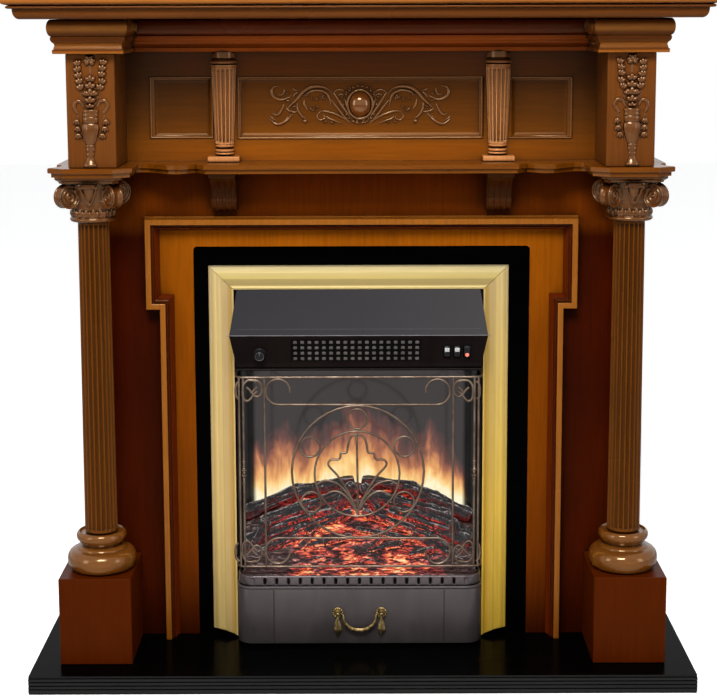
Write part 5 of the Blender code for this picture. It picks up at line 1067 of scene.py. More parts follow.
def half_column(side, label):
    """A tapered fluted half column with a ringed foot on a block, and a turned cap."""
    node = "half_column_" + label
    low, top = heights(node)
    middle = side * HALF_COLUMN_X
    face = from_wall(FRIEZE_FACE) - 0.0003
    shape = bmesh.new()
    foot_radius, head_radius = 0.015, 0.02
    cap_low, neck_top, block_top = top - 0.025, low + 0.028, low + 0.0085
    levels = shaft_levels(neck_top - 0.001, cap_low + 0.001, 0.012)
    rings = fluted_rings((middle, face), (foot_radius, head_radius), levels, 16, 0.003,
                         (neck_top + 0.002, cap_low - 0.002), fillet=0.3)
    add_loft(shape, rings)
    place = Matrix.Translation((middle, face, 0))
    foot = mm(((0, 0), (14.8, 0)), neck_top)
    for ring_level in (neck_top - 0.0034, neck_top - 0.0108, neck_top - 0.016):
        foot += oval_arc((0.012, ring_level), 0.0032, 0.0026, 80, -80, 8)
        foot += [(0.0112, ring_level - 0.0034)]
    foot += [(0.0135, block_top), (0, block_top - 0.001)]
    add_lathe(shape, foot, place, steps=48)
    cap = mm(((0, -0.2), (18.8, -0.2), (18.8, -9.5), (17, -11), (17.6, -12.5)), top)
    cap += oval_arc((0.018, top - 0.016), 0.0038, 0.003, 78, -78, 10)
    cap += mm(((18.4, -19.6), (20.6, -20.6), (20.6, -23.2), (19.6, -24.2)), top)
    cap += [(head_radius, cap_low), (0, cap_low - 0.0005)]
    add_lathe(shape, cap, place, steps=64)
    add_box(shape, (middle - 0.025, face - 0.03, low), (middle + 0.025, face, block_top), 0.0008)
    cut_behind(shape, face)
    piece("frieze_column_" + label, shape, WOOD_HALF_COLUMN, instead_of=(node,), sharp=42)


def corbel(side, label):
    """A fluted scroll bracket with a square cap."""
    node = "corbel_" + label
    low_corner, high_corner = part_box(node)
    middle, top, face = (low_corner.x + high_corner.x) / 2, high_corner.z, high_corner.y
    half, cap_high = 0.0195, 0.0085
    body_top, low = top - cap_high, low_corner.z
    outline = [(face, low + 0.0004)]
    outline += oval_arc((face - 0.012, low + 0.014), 0.0138, 0.0138, -90, -205, 14)
    outline += [(face - 0.027, low + 0.029), (face - 0.033, low + 0.038),
                (face - 0.042, body_top - 0.0085), (face - 0.052, body_top - 0.0035),
                (face - 0.0548, body_top - 0.001), (face - 0.0548, body_top)]
    flutes = 4
    rings = []
    for share in shares(12 * flutes):
        x = middle + half * (2 * share - 1)
        within = share * flutes % 1
        deep = 0.0027 * sqrt(max(0, 1 - ((within - 0.5) / 0.36) ** 2))
        ring = [(x, min(face, y + deep) if 3 < k < len(outline) - 3 else min(face, y), z)
                for k, (y, z) in enumerate(outline)]
        rings.append(ring + [(x, face, body_top)])
    shape = add_loft(bmesh.new(), rings)
    for end in (-1, 1):
        add_ball(shape, (middle + end * (half - 0.0004), face - 0.0125, low + 0.0142),
                 (0.0018, 0.0072, 0.0072))
    add_box(shape, (low_corner.x, low_corner.y, body_top), (high_corner.x, face, top), 0.0012)
    piece("scroll_bracket_" + label, shape, WOOD_CORBEL, instead_of=(node,), sharp=35)


# Carved flowers

URN_PX = 90.4


def stroke(shape, points, wide, rise=0.55, ends=(0.25, 0.15), sides=10):
    """A raised carved stroke, flattened against the board behind it."""
    add_tube(shape, points, taper(wide, *ends), sides=sides, flat=Vector((0, rise, 0)), fine=5)


def petal(shape, point, angle, long, wide, rise=0.0046):
    """A single petal lying on the board, its tip at this angle (degrees) from the right."""
    turn = Matrix.Rotation(radians(angle), 3, "Y").inverted()
    middle = Vector(point) + turn @ Vector((long * 0.5, 0, 0))
    return add_ball(shape, middle, (long * 0.62, rise, wide * 0.5), turn, wide=12, tall=8)


def urn(side, label):
    """Flowers over a vase with two handles and hanging sprigs."""
    node = "urn_applique_" + label
    shape = bmesh.new()

    def at(px, py, out=0):
        """A point on the front of the box, given by its place on the left one."""
        point = spot(px, py, from_wall(BOX_FRONT))
        return Vector((-side * point.x, point.y - out, point.z))

    for lean in (0, 60, 120, 180, 225, 315):
        petal(shape, at(89.3, 60.5), lean, 0.0092, 0.0082, 0.0056)
    add_ball(shape, at(89.3, 60, 0.003), (0.003, 0.003, 0.0036), wide=12, tall=8)
    stroke(shape, [at(89.5, 60), at(90, 70), at(90.4, 82), at(90.4, 109)], 0.002, ends=(0.7, 0.7))
    for py, long, wide in ((81, 0.0098, 0.0084), (88, 0.01, 0.0086), (95.5, 0.0118, 0.0092),
                           (102.5, 0.0104, 0.0082), (108, 0.008, 0.0066)):
        for lean in (90, 38, 142):
            petal(shape, at(90.2, py), lean, long, wide, 0.0056)
    for lean in (8, 172):
        petal(shape, at(90.2, 94.5), lean, 0.0125, 0.008, 0.005)
    for places, lean in ((((78, 66), (78, 72), (79, 78), (80, 84), (81, 90)), 104),
                         (((102.5, 65), (101.5, 71), (101, 77), (101.5, 84), (99.5, 90)), 76)):
        for place in places:
            for spread in (-34, 0, 34):
                petal(shape, at(*place), lean + spread, 0.01, 0.0072)
    for foot, top in (((86, 108), (80.5, 92)), ((95, 108), (100.5, 92))):
        stroke(shape, [at(*foot), at((foot[0] + top[0]) / 2, 99), at(*top)], 0.0016)
    for line in (((84, 108), (80, 101.5), (75.5, 102.5), (74.5, 109), (78, 113.5)),
                 ((97, 108), (100, 101.5), (105, 101), (107.5, 107), (103, 113.5))):
        stroke(shape, [at(*p) for p in line], 0.0036, ends=(0.45, 0.75), rise=0.8)
    for line in (((77, 114), (79, 124), (80, 133), (82.5, 142)),
                 ((105, 113), (104, 124), (102, 134), (98.5, 142))):
        stroke(shape, [at(*p) for p in line], 0.0018, ends=(0.8, 0.5))
    for px, py, lean in ((77, 119, -100), (78, 126, -95), (78.5, 133, -90), (105.5, 119, -80),
                         (104.5, 126, -85), (102.5, 133, -90)):
        for spread in (-30, 0, 30):
            petal(shape, at(px, py), lean + spread, 0.0096, 0.0058)
    add_urn_body(shape, at)
    cut_behind(shape, from_wall(BOX_FRONT) - 0.0003)
    close_holes(shape)
    piece("carved_urn_" + label, shape, WOOD_CARVED, instead_of=(node,), sharp=60)


def add_urn_body(shape, at):
    """A gadrooned vase in half relief on a ringed stem and foot."""
    outline = ((110, 8.2), (111, 8.8), (112.4, 8.2), (113.2, 7.9), (115, 8.3), (116.6, 8.5),
               (117, 7.8), (117.6, 8.2), (122.6, 8.3), (123.2, 7.5), (124, 8.4), (126, 9),
               (130, 9.1), (136, 7.8), (141, 6.1), (144, 4.9), (144.8, 4.4), (145.4, 5.1),
               (146.8, 5.2), (147.6, 4.2), (148.4, 4.4), (150, 5), (151.6, 4.4), (152.4, 3.6),
               (153.6, 4), (155, 4.4), (156.4, 3.8), (157.4, 3.4), (160, 4.2), (163.6, 6.2),
               (164.2, 7), (165.8, 7.2), (166.8, 7))
    gadroons = 14
    rings = []
    for py, half_px in outline:
        middle = at(URN_PX, py)
        edge = at(URN_PX + half_px, py)
        half = abs(edge.x - middle.x)
        ribbed = 0.07 if 124.5 < py < 143 else 0
        ring = []
        for angle in angles(64):
            swell = 1 + ribbed * (abs(cos(gadroons * angle / 2)) - 0.7)
            ring.append((middle.x + half * swell * cos(angle),
                         middle.y - 0.62 * half * swell * sin(angle), middle.z))
        rings.append(ring)
    add_skin(shape, rings)


APPLIQUE_MIDDLE_PX = 360.1
LEFT_STROKES = (
    # points of the stroke, and its half width in millimetres
    (((286, 110), (292, 104), (298, 98), (303, 92), (310, 87.5), (318, 86.5), (326, 88), (333, 94)), 3.4),
    (((303, 97), (306, 94), (312, 91), (320, 90.5), (327, 94), (330, 101), (331, 108)), 2.6),
    (((304, 99), (304, 103), (305, 106), (308, 110)), 2.4),
    (((291, 96), (285, 99), (279, 99.5), (273, 96), (271.5, 91), (274, 87), (279, 86)), 3),
    (((284, 88), (284, 92), (281, 95), (277, 93)), 2),
    (((299, 92), (295, 94), (293, 98)), 2),
    (((292, 88), (295, 90), (298, 91)), 1.7),
    (((284, 104), (281, 111), (277, 115), (272, 113)), 2.6),
    (((270, 116), (273, 119), (276, 120.5)), 1.8),
    (((270, 119), (276, 124), (282, 123), (287, 120), (290, 117)), 2.8),
    (((284, 122), (286, 119), (289, 116)), 1.6),
    (((288, 119), (290, 117), (293, 113)), 1.6),
    (((297, 103), (298, 110), (302, 116), (306, 119)), 2.6),
    (((286, 108), (290, 111), (295, 112), (299, 110)), 2.2),
    (((334, 93), (339, 101), (345, 110), (351, 118)), 3),
    (((331, 100), (337, 107), (343, 115), (350, 122)), 2.6),
    (((345, 98), (347, 106), (350, 112), (355, 118)), 2.8),
    (((351, 118), (356, 123), (357, 119), (353, 117), (350, 120)), 2),
    (((318, 112), (324, 111), (331, 112.5), (338, 115), (345, 119), (351, 124)), 2.6),
    (((320, 112), (317, 116), (320, 120), (325, 118), (323, 115)), 1.9),
    (((326, 116), (330, 119), (336, 121), (343, 124)), 2),
    (((333, 94), (337, 90), (342, 90), (346, 93)), 2.2),
    (((338, 96), (341, 94), (345, 96)), 1.8),
)
LEFT_LEAVES = (
    # place, angle of the tip and length in millimetres
    ((312, 111), 60, 7), ((312, 111), 110, 7), ((312, 111), 20, 6), ((316, 108), 40, 6.5),
    ((308, 96), 150, 6), ((308, 96), 100, 6), ((311, 100), 80, 5.5), ((322, 99), 70, 8),
    ((322, 99), 20, 6.5), ((322, 99), 120, 6.5), ((317, 101), 95, 6), ((296, 106), 190, 7),
    ((293, 110), 215, 7), ((290, 101), 170, 7), ((289, 93), 200, 6), ((327, 121), 200, 6),
    ((334, 122), 190, 6),
)


def frieze_spot(px, py):
    return spot(px, py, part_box("centre_applique")[1].y)


def centre_applique():
    """Leaf scrolls to both sides of an oval boss."""
    shape = bmesh.new()
    middle = frieze_spot(APPLIQUE_MIDDLE_PX, 104.3)
    for side in (-1, 1):
        def at(px, py):
            point = frieze_spot(px, py)
            return point if side < 0 else Vector((2 * middle.x - point.x, point.y, point.z))

        for points, wide in LEFT_STROKES:
            stroke(shape, [at(*p) for p in points], wide / 1000, rise=1.15, sides=12)
        for place, angle, long in LEFT_LEAVES:
            petal(shape, at(*place), angle if side < 0 else 180 - angle, long / 1000,
                  long / 2100, 0.0042)
        add_ball(shape, at(305, 121), (0.0036, 0.0038, 0.0036))
        for px, py, radius in ((342, 97, 2.2), (346, 92, 2.4), (350, 88, 2.2)):
            add_ball(shape, at(px, py), (radius / 1000, 0.0045, radius / 1000), wide=12, tall=8)
    ring = [middle + Vector((0.0198 * cos(a), -0.001, 0.0228 * sin(a))) for a in angles(40)]
    add_tube(shape, ring, 0.0026, sides=10, closed=True, fine=1)
    for angle in angles(22):
        point = middle + Vector((0.0242 * cos(angle), 0, 0.0275 * sin(angle)))
        petal(shape, point, degrees(angle), 0.004, 0.0052, 0.004)
    back = middle.y - 0.0002
    cut_behind(shape, back)
    close_holes(shape)
    piece("carved_scrolls", shape, WOOD_APPLIQUE, instead_of=("centre_applique",),
          sharp=60)
    boss = bmesh.new()
    add_ball(boss, middle, (0.0172, 0.0125, 0.0203), wide=48, tall=32)
    cut_behind(boss, back)
    piece("oval_boss", boss, WOOD_BOSS, sharp=60)


# The inset fire

HOOD_LIP = (-0.03, 0.505)
HOOD_LOW = 0.4915
HOOD_TOP = 0.617
HOOD_TOP_Y = 0.017
HOOD_HALF_RIDGE = 0.21


def hood_point(across, share, lift=0, lower=False):
    """A point on the hood's upper face, or lower face, share 0..1 downwards; across in metres."""
    start, end = ((HOOD_TOP_Y, HOOD_TOP), HOOD_RIDGE) if not lower else (HOOD_RIDGE, HOOD_LIP)
    y = start[0] + (end[0] - start[0]) * share
    z = start[1] + (end[1] - start[1]) * share
    normal = Vector((0, start[1] - end[1], -(start[0] - end[0]))).normalized()
    outward = Vector((0, -abs(normal.y), normal.z if not lower else -abs(normal.z)))
    return Vector((MID_X + across, y, z)) + outward * lift


def lower_face_turn():
    """Turns a piece made facing -Y so that it lies square on the hood's lower face."""
    lean = atan2(HOOD_LIP[0] - HOOD_RIDGE[0], HOOD_RIDGE[1] - HOOD_LIP[1])
    return Matrix.Rotation(lean, 4, "X")


def hood_lines():
    """The thin pressed lines on the upper face and the bend of the ridge, pale with painted highlight."""
    shape = bmesh.new()
    for share, half, lift, radius in ((0.175, 0.187, 0.0012, 0.0007), (0.86, 0.194, 0.0003, 0.00035)):
        add_rod(shape, hood_point(-half, share, lift), hood_point(half, share, lift), radius, 8)
    piece("hood_pressed_lines", shape, PAINTED_HIGHLIGHT_STEEL)
    ridge = bmesh.new()
    half = HOOD_HALF_RIDGE - 0.0006
    y, z = HOOD_RIDGE
    add_rod(ridge, (MID_X - half, y + 0.0007, z), (MID_X + half, y + 0.0007, z), 0.0007)
    piece("hood_ridge_bend", ridge, PAINTED_HIGHLIGHT_STEEL)


def hood_lip():
    """The rolled lower edge with its row of small holes."""
    half = HOOD_HALF_RIDGE - 0.012
    shape = bmesh.new()
    level = HOOD_LOW + 0.0024
    y = HOOD_LIP[0] + 0.0006
    add_rod(shape, (MID_X - half, y, level), (MID_X + half, y, level), 0.0019, 16)
    piece("hood_rolled_edge", shape, HOOD_BROWN)
    holes = bmesh.new()
    pitch, count = 0.0114, 34
    for i in range(count):
        x = MID_X + (i - (count - 1) / 2) * pitch
        add_ball(holes, (x, HOOD_LIP[0] + 0.0002, HOOD_LOW + 0.0072), (0.0019, 0.0004, 0.0017),
                 wide=12, tall=6)
    piece("hood_edge_holes", holes, DEEP_BLACK)


def on_lower_face(x, level, lift=0):
    """Where a piece sits on the hood's lower face, turned square to it."""
    share = (HOOD_RIDGE[1] - level) / (HOOD_RIDGE[1] - HOOD_LIP[1])
    return Matrix.Translation(hood_point(x - MID_X, share, lift, lower=True)) @ lower_face_turn()


def grille():
    """Four rows of short pressed bars between dark slots."""
    low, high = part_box("outlet_grille")
    middle = (low + high) / 2
    rows, columns, pitch, step = 4, 18, 0.01145, 0.009408
    bars, dark = bmesh.new(), bmesh.new()
    add_box(dark, (-0.1045, -0.0004, -0.0192), (0.1045, 0.0004, 0.0192), 0,
            on_lower_face(middle.x, middle.z - 0.0006))
    for row in range(rows):
        level = middle.z + ((rows - 1) / 2 - row) * step - 0.0008
        for column in range(columns):
            x = middle.x + (column - (columns - 1) / 2) * pitch
            place = on_lower_face(x, level, 0.0006) @ Matrix.Rotation(radians(-16), 4, "X")
            add_box(bars, (-0.003, -0.0006, -0.0026), (0.003, 0.0008, 0.0026), 0.0009, place)
    piece("grille_bars", bars, GRILLE_GREY)
    piece("grille_slots", dark, SLOT_BLACK)


def knob():
    """A ribbed knob with a pointer and a ring on its end."""
    low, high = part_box("thermostat_knob")
    middle = (low + high) / 2
    place = on_lower_face(middle.x, middle.z, 0.0003) @ Matrix.Rotation(pi / 2, 4, "X")
    shape = bmesh.new()
    tall, radius = 0.0125, 0.0092
    profile = [(0, 0), (radius, 0), (radius, 0.002), (radius - 0.0006, 0.0026),
               (radius - 0.001, tall - 0.0012), (radius - 0.0022, tall - 0.0002),
               (radius - 0.003, tall - 0.0009), (0, tall - 0.0009)]
    rings = []
    for reach, height in profile:
        reach = max(reach, 0.0001)
        ring = []
        for i, angle in enumerate(angles(72)):
            rib = 0.00025 * (i % 2) if 0.0026 <= height <= tall - 0.0012 else 0
            ring.append(((reach - rib) * cos(angle), (reach - rib) * sin(angle), height))
        rings.append(ring)
    add_skin(shape, rings, place)
    piece("knob_body", shape, BLACK_PLASTIC, "knob", ("thermostat_knob",))
    mark = bmesh.new()
    add_box(mark, (-0.0005, 0.0012, tall - 0.001), (0.0005, 0.0064, tall - 0.0005), 0.0002, place)
    ring = [place @ Vector((0.0068 * cos(a), 0.0068 * sin(a), tall - 0.0006)) for a in angles(36)]
    add_tube(mark, ring, 0.0003, sides=6, closed=True, fine=1)
    piece("knob_mark", mark, PALE_PRINT, "knob")


def rockers():
    """Black rockers; two carry a pale pad and the third a lamp that glows."""
    for number in (1, 2, 3):
        low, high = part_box("rocker_%d" % number)
        half_x = (high.x - low.x) / 2
        middle = (low + high) / 2
        body = "switch_%d" % number
        place = Matrix.Translation((middle.x, low.y + 0.001, middle.z)) @ lower_face_turn()
        half_z = (high.z - low.z) / 2 - 0.0012
        rings = []
        for share in (-1, -0.86, -0.5, 0, 0.5, 0.86, 1):
            out = 0.0008 * (1 - share * share) - (0.0009 if share > 0 else 0) * share
            front = 0.0012 - out if abs(share) < 1 else 0.004
            height = share * half_z
            rings.append([(-half_x + 0.0008, 0.006, height), (-half_x + 0.0002, front + 0.0008, height),
                          (-half_x + 0.0008, front, height), (half_x - 0.0008, front, height),
                          (half_x - 0.0002, front + 0.0008, height), (half_x - 0.0008, 0.006, height)])
        shape = add_skin(bmesh.new(), rings, place)
        piece("rocker_face_%d" % number, shape, BLACK_PLASTIC, body,
              ("rocker_%d" % number,), sharp=50)
        pad = bmesh.new()
        if number < 3:
            add_box(pad, (-0.0037, 0.0002, 0.0006), (0.0037, 0.0016, 0.0076), 0.0004, place)
            piece("rocker_pad_%d" % number, pad, PALE_PLASTIC, body)
        else:
            add_ball(pad, place @ Vector((0, 0.0006, -0.0042)), (0.003, 0.0011, 0.0038))
            piece("rocker_lamp", pad, RED_LENS, body)


# Wrought screen

SCREEN_Y = -0.033
WIRE = 0.0019


def bar(shape, points, radius=WIRE, closed=False, fine=6, out=0):
    """A bent round wire through pixels of the photograph, in the screen's plane."""
    path = []
    for px, py in points:
        point = spot(px, py, SCREEN_Y)
        path.append((point.x, point.y - out, point.z))
    return add_tube(shape, path, radius, sides=12, closed=closed, fine=fine)


def hoop(shape, px, py, radius_px, radius=WIRE, out=0):
    points = [(px + radius_px * cos(a), py + radius_px * sin(a)) for a in angles(40)]
    return bar(shape, points, radius, closed=True, fine=1, out=out)


def upside_down(points, middle_py):
    return [(px, 2 * middle_py - py) for px, py in points]


def twin_bars(shape, lines, radius=WIRE, middle_px=357.8, fine=4, out=0):
    """Bars drawn for the left half, then the same ones for the right half."""
    for right in (False, True):
        for line in lines:
            points = [(2 * middle_px - px, py) for px, py in line] if right else line
            bar(shape, points, radius, fine=fine, out=out)


def screen_frame(shape):
    """Two bars with ends bent back to the case, and three posts on each side."""
    low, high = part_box("wrought_screen")
    half = 0.1935
    bottom, top = low.z + WIRE, high.z - WIRE
    bend, back = 0.014, high.y - 0.0016
    for level in (bottom, top):
        for side in (-1, 1):
            end = Vector((MID_X + side * (half + 0.0052), back, level))
            corner = Vector((MID_X + side * half, SCREEN_Y, level))
            bent = [corner + Vector((side * across, depth, 0)) for across, depth in
                    ((-bend, 0), (-bend * 0.28, bend * 0.09), (0.003, bend * 0.48),
                     (0.0048, bend * 1.1))]
            add_tube(shape, bent + [end], WIRE, sides=12, fine=4)
        add_rod(shape, (MID_X - half + bend, SCREEN_Y, level), (MID_X + half - bend, SCREEN_Y, level),
                WIRE, 12)
    for side in (-1, 1):
        for across in (half - 0.0012, half - 0.0078, 0.1515):
            x = MID_X + side * across
            add_rod(shape, (x, SCREEN_Y, bottom), (x, SCREEN_Y, top), WIRE, 12)
        add_knuckles(shape, MID_X + side * (half - 0.0078))


def add_knuckles(shape, x):
    """Turned balls and sleeves halfway up a post."""
    levels = ((459, 0.0022), (461.5, 0.003), (464, 0.0022), (466.5, 0.0026), (470, 0.0042),
              (472.6, 0.0026), (475.5, 0.0042), (479, 0.0026), (481.5, 0.0022), (483.5, 0.003),
              (485.5, 0.0022))
    profile = []
    for py, radius in levels:
        level = spot(240.5, py, SCREEN_Y).z
        profile.append((radius * 0.62, level + 0.0021))
        profile += oval_arc((0, level), radius, 0.0019, 60, -60, 6)
        profile.append((radius * 0.62, level - 0.0021))
    profile = [(0, profile[0][1] + 0.0006)] + profile + [(0, profile[-1][1] - 0.0006)]
    profile.sort(key=lambda entry: -entry[1])
    add_lathe(shape, profile, Matrix.Translation((x, SCREEN_Y - 0.0004, 0)), steps=20)


def screen_scrolls(shape):
    """A bar above and a bar below the ring, each curled at its ends."""
    curl = [(278, 404.6)]
    for share in shares(20):
        angle = radians(90 + 275 * share)
        reach = 13.2 - 1.6 * share
        curl.append((278.3 + reach * cos(angle), 391.3 + reach * sin(angle)))
    line = [(357.5, 404.6), (330, 404.6), (300, 404.6)] + curl
    twin_bars(shape, (line, upside_down(line, 471.3)), fine=3)


def screen_hearts(shape):
    """Pairs of crossing curls in the corners, and half curls beyond the posts."""
    curl = [(257, 391), (253.6, 394.6), (250, 399.4), (246.2, 401), (243.2, 397.6),
            (242.6, 391), (243.6, 384.6), (247.2, 380.6), (252, 380.2), (256.4, 381.6)]
    hook = [(246.6, 387.2), (249.4, 389.6), (252.6, 393.6), (256.4, 396.6), (260.4, 394.8),
            (262, 390), (261, 384.2), (257, 380.6), (252, 380.2)]
    tail = [(257.2, 387), (254.8, 389.2), (251.4, 393.4)]
    beyond = [(238.6, 399), (236.2, 396), (235.6, 390), (236.6, 384), (239.4, 381)]
    upper = [curl, hook, tail, beyond]
    twin_bars(shape, upper + [upside_down(line, 471) for line in upper], WIRE * 1.04)


def screen_leaf(shape):
    """The big ring, the ring inside it, five small rings and the leaf."""
    hoop(shape, 357.9, 471.6, 66)
    hoop(shape, 357.1, 473.5, 42.5, WIRE * 0.9, 0.0008)
    for px, py in ((357, 419), (310, 447), (404.4, 446.5), (311.4, 502), (404, 501.7)):
        hoop(shape, px, py, 10, WIRE * 0.9)
    bar(shape, [(356.5, 433), (357.4, 470), (358.2, 515)], WIRE * 0.95, fine=3)
    outline = [(357, 434), (351, 437), (348, 445), (347.4, 450), (346.2, 452.6), (341, 453.4),
               (340.2, 457.4), (338, 459.4), (332, 459.4), (328.6, 462), (329.4, 466.6), (338, 476),
               (347, 490), (354, 503), (358, 514)]
    fronds = ([(318, 484), (325, 480.4), (337, 483.4), (346, 492), (353, 503), (357.6, 513)],
              [(325, 495), (331, 491.6), (338, 491.4), (345, 495.6), (352, 504), (357.6, 513)])
    for lines, radius in (((outline,), WIRE * 0.95), (fronds, WIRE * 0.9)):
        twin_bars(shape, lines, radius, middle_px=357.4, out=0.0006)


def wrought_screen():
    shape = bmesh.new()
    screen_frame(shape)
    screen_scrolls(shape)
    screen_hearts(shape)
    screen_leaf(shape)
    piece("wrought_wires", shape, BRONZE, "screen", ("wrought_screen",), sharp=60)


# Fire

MOUND = ((241, 506), (252, 501), (262, 498), (278, 494), (295, 490), (308, 485), (320, 480),
         (336, 477), (352, 475), (368, 478), (385, 481), (397, 483), (408, 485), (417, 489),
         (425, 492), (436, 496), (447, 500), (458, 504), (470, 509))


def mound_top(px):
    """The pixel row of the heap's upper line above a pixel column."""
    for (x0, y0), (x1, y1) in zip(MOUND, MOUND[1:]):
        if px <= x1:
            return y0 + (y1 - y0) * max(0, px - x0) / (x1 - x0)
    return MOUND[-1][1]


def add_log(shape, start, end, radius, seed, squash):
    """A rough charred log between two points, split along its length."""
    start, end = Vector(start), Vector(end)
    along = (end - start).normalized()
    side = along.cross(Vector((0, -1, 0.25))).normalized()
    up = side.cross(along)
    rings = []
    for share in shares(34):
        point = start + (end - start) * share
        ends = min(1, 0.72 + 3.5 * min(share, 1 - share))
        ring = []
        for angle in angles(40):
            way = side * cos(angle) + up * sin(angle) * squash
            around = Vector((cos(angle), sin(angle), 0))
            bend = noise.noise(Vector((seed, seed * 0.7, share * 2.6))) * radius * 0.35
            grain = noise.noise(around * 1.3 + Vector((seed, 0, share * 1.6)))
            bark = abs(noise.noise(around * 4.2 + Vector((seed * 1.7, 0, share * 3))))
            crack = noise.noise(around * 9 + Vector((0, seed, share * 14)))
            reach = radius * ends * (0.98 + 0.34 * grain - 0.42 * bark + 0.1 * crack) + bend
            ring.append(point + way * reach)
        rings.append(ring)
    return add_skin(shape, rings)


LOGS = (
    # start pixel, end pixel, radius and distance in front of the glass, both in metres
    ((354, 479), (298, 493), 0.0125, 0.016), ((304, 489), (242, 514), 0.013, 0.016),
    ((362, 479), (418, 490), 0.012, 0.016), ((410, 489), (470, 516), 0.013, 0.016),
    ((350, 494), (262, 522), 0.013, 0.03), ((368, 494), (452, 520), 0.013, 0.03),
    ((332, 510), (244, 543), 0.015, 0.04), ((388, 510), (470, 541), 0.015, 0.04),
    ((354, 483), (330, 519), 0.0105, 0.034), ((362, 484), (384, 520), 0.0105, 0.034),
    ((306, 532), (243, 566), 0.015, 0.052), ((410, 532), (470, 565), 0.015, 0.052),
    ((268, 520), (250, 552), 0.01, 0.05), ((450, 520), (464, 552), 0.01, 0.05),
    ((352, 512), (296, 532), 0.0095, 0.048), ((362, 512), (414, 530), 0.0095, 0.048),
    ((300, 548), (352, 536), 0.0062, 0.06), ((344, 556), (402, 543), 0.0062, 0.061),
    ((382, 562), (434, 549), 0.007, 0.062), ((276, 566), (326, 559), 0.0065, 0.064),
    ((356, 529), (424, 541), 0.0055, 0.056), ((322, 524), (300, 548), 0.006, 0.056),
    ((392, 526), (372, 548), 0.0055, 0.056), ((340, 566), (372, 561), 0.005, 0.066),
)


def fire_logs():
    """The burnt logs, laid in pairs that lean towards the middle."""
    shape = bmesh.new()
    glass_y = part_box("flame_screen")[0].y
    for number, (start, end, radius, out) in enumerate(LOGS):
        y = glass_y - out
        add_log(shape, spot(*start, y + 0.006), spot(*end, y - 0.004), radius, number * 4.37, 0.9)
    keep_inside(shape, "ember_bed")
    piece("charred_logs", shape, CHARRED, sharp=70)


def keep_inside(shape, node):
    """Moves what would reach out of a node's box back to its sides."""
    margin = 0.0006
    low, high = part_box(node)
    for vertex in shape.verts:
        for axis in range(3):
            vertex.co[axis] = min(max(vertex.co[axis], low[axis] + margin), high[axis] - margin)


def coals():
    """The heap of glowing coals under the logs, one rough skin."""
    low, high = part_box("ember_bed")
    columns, rows = 150, 46
    left, right = low.x + 0.0006, high.x - 0.0006
    shape = bmesh.new()
    grid = []
    for share in shares(rows):
        y = high.y - 0.0008 + (low.y + 0.001 - high.y) * share
        line = []
        for across in shares(columns):
            x = left + (right - left) * across
            px = MOUND[0][0] + (MOUND[-1][0] - MOUND[0][0]) * across
            peak = spot(px, mound_top(px) + 7, high.y).z
            slope = 1 - share ** 1.35
            foot = low.z + 0.0105
            lump = noise.noise(Vector((x * 75, y * 75, 0.5))) * 0.0048
            lump += noise.noise(Vector((x * 190, y * 190, 7.5))) * 0.0026
            z = foot + (peak - foot) * slope + lump * min(1, 6 * share + 0.2)
            line.append(shape.verts.new((x, y, min(max(z, low.z + 0.003), high.z - 0.0008))))
        grid.append(line)
    for near, far in zip(grid, grid[1:]):
        for i in range(columns):
            shape.faces.new((near[i], near[i + 1], far[i + 1], far[i]))
    floor = low.z + 0.0004
    for line in (grid[0], grid[-1], [row[0] for row in grid], [row[-1] for row in grid]):
        under = [shape.verts.new((v.co.x, v.co.y, floor)) for v in line]
        for i in range(len(line) - 1):
            shape.faces.new((line[i], line[i + 1], under[i + 1], under[i]))
    bmesh.ops.remove_doubles(shape, verts=shape.verts, dist=0.00001)
    close_holes(shape)
    piece("glowing_coals", shape, EMBERS, instead_of=("ember_bed",), sharp=80)


def ember_apron():
    """A thin layer of small embers between the heap and the band."""
    low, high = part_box("fret_band")
    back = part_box("ember_bed")[0].y + 0.0004
    floor, level = low.z + 0.012, high.z + 0.0006
    half = (high.x - low.x) / 2 - 0.006
    columns, rows, bend = 160, 9, 0.023
    rings = []
    for share in shares(columns):
        across = half * (2 * share - 1)
        beyond = max(0, abs(across) - (half - bend))
        front = low.y + 0.003 + bend - sqrt(max(0, bend * bend - beyond * beyond))
        front = min(front, back - 0.001)
        top = []
        for share_back in shares(rows):
            y = front + (back - front) * share_back
            lump = noise.noise(Vector((across * 230, y * 230, 3))) * 0.0016
            top.append((MID_X + across, y, level + lump))
        rings.append([(MID_X + across, front, floor)] + top + [(MID_X + across, back, floor)])
    piece("ember_apron", add_loft(bmesh.new(), rings), EMBERS, sharp=80)


# Band, cover and handle

RIBS, RIB_PITCH = 17, 0.0193
CORNER_BEND = 0.025
SEAMS_PX, SEAM_MIDDLE_PY = (274, 444), 612


def wrapped_path(half, front, back, bend, fine):
    """Points round the front from one side to the other, each with its outward direction."""
    path = [((-half, back), (-1, 0))]
    for side in (-1, 1):
        middle = (side * (half - bend), front + bend)
        for share in shares(fine):
            turned = radians(90 * share if side < 0 else 90 - 90 * share)
            way = (side * cos(turned), -sin(turned))
            path.append(((middle[0] + bend * way[0], middle[1] + bend * way[1]), way))
        if side < 0:
            span = 2 * (half - bend)
            count = int(span / RIB_PITCH) * 12
            path += [((-half + bend + span * i / count, front), (0, -1)) for i in range(1, count)]
    path.append(((half, back), (1, 0)))
    return path


def wrapped_sheet(path, profile, thick):
    """A sheet bent along the path; the profile gives (outward, height) on its front side."""
    rings = []
    for (x, y), (way_x, way_y) in path:
        outer = [(MID_X + x + out * way_x, y + out * way_y, height) for out, height in profile(x, y)]
        inner = [(MID_X + x - thick * way_x, y - thick * way_y, height)
                 for _, height in reversed(profile(x, y))]
        rings.append(outer + inner)
    return add_loft(bmesh.new(), rings)


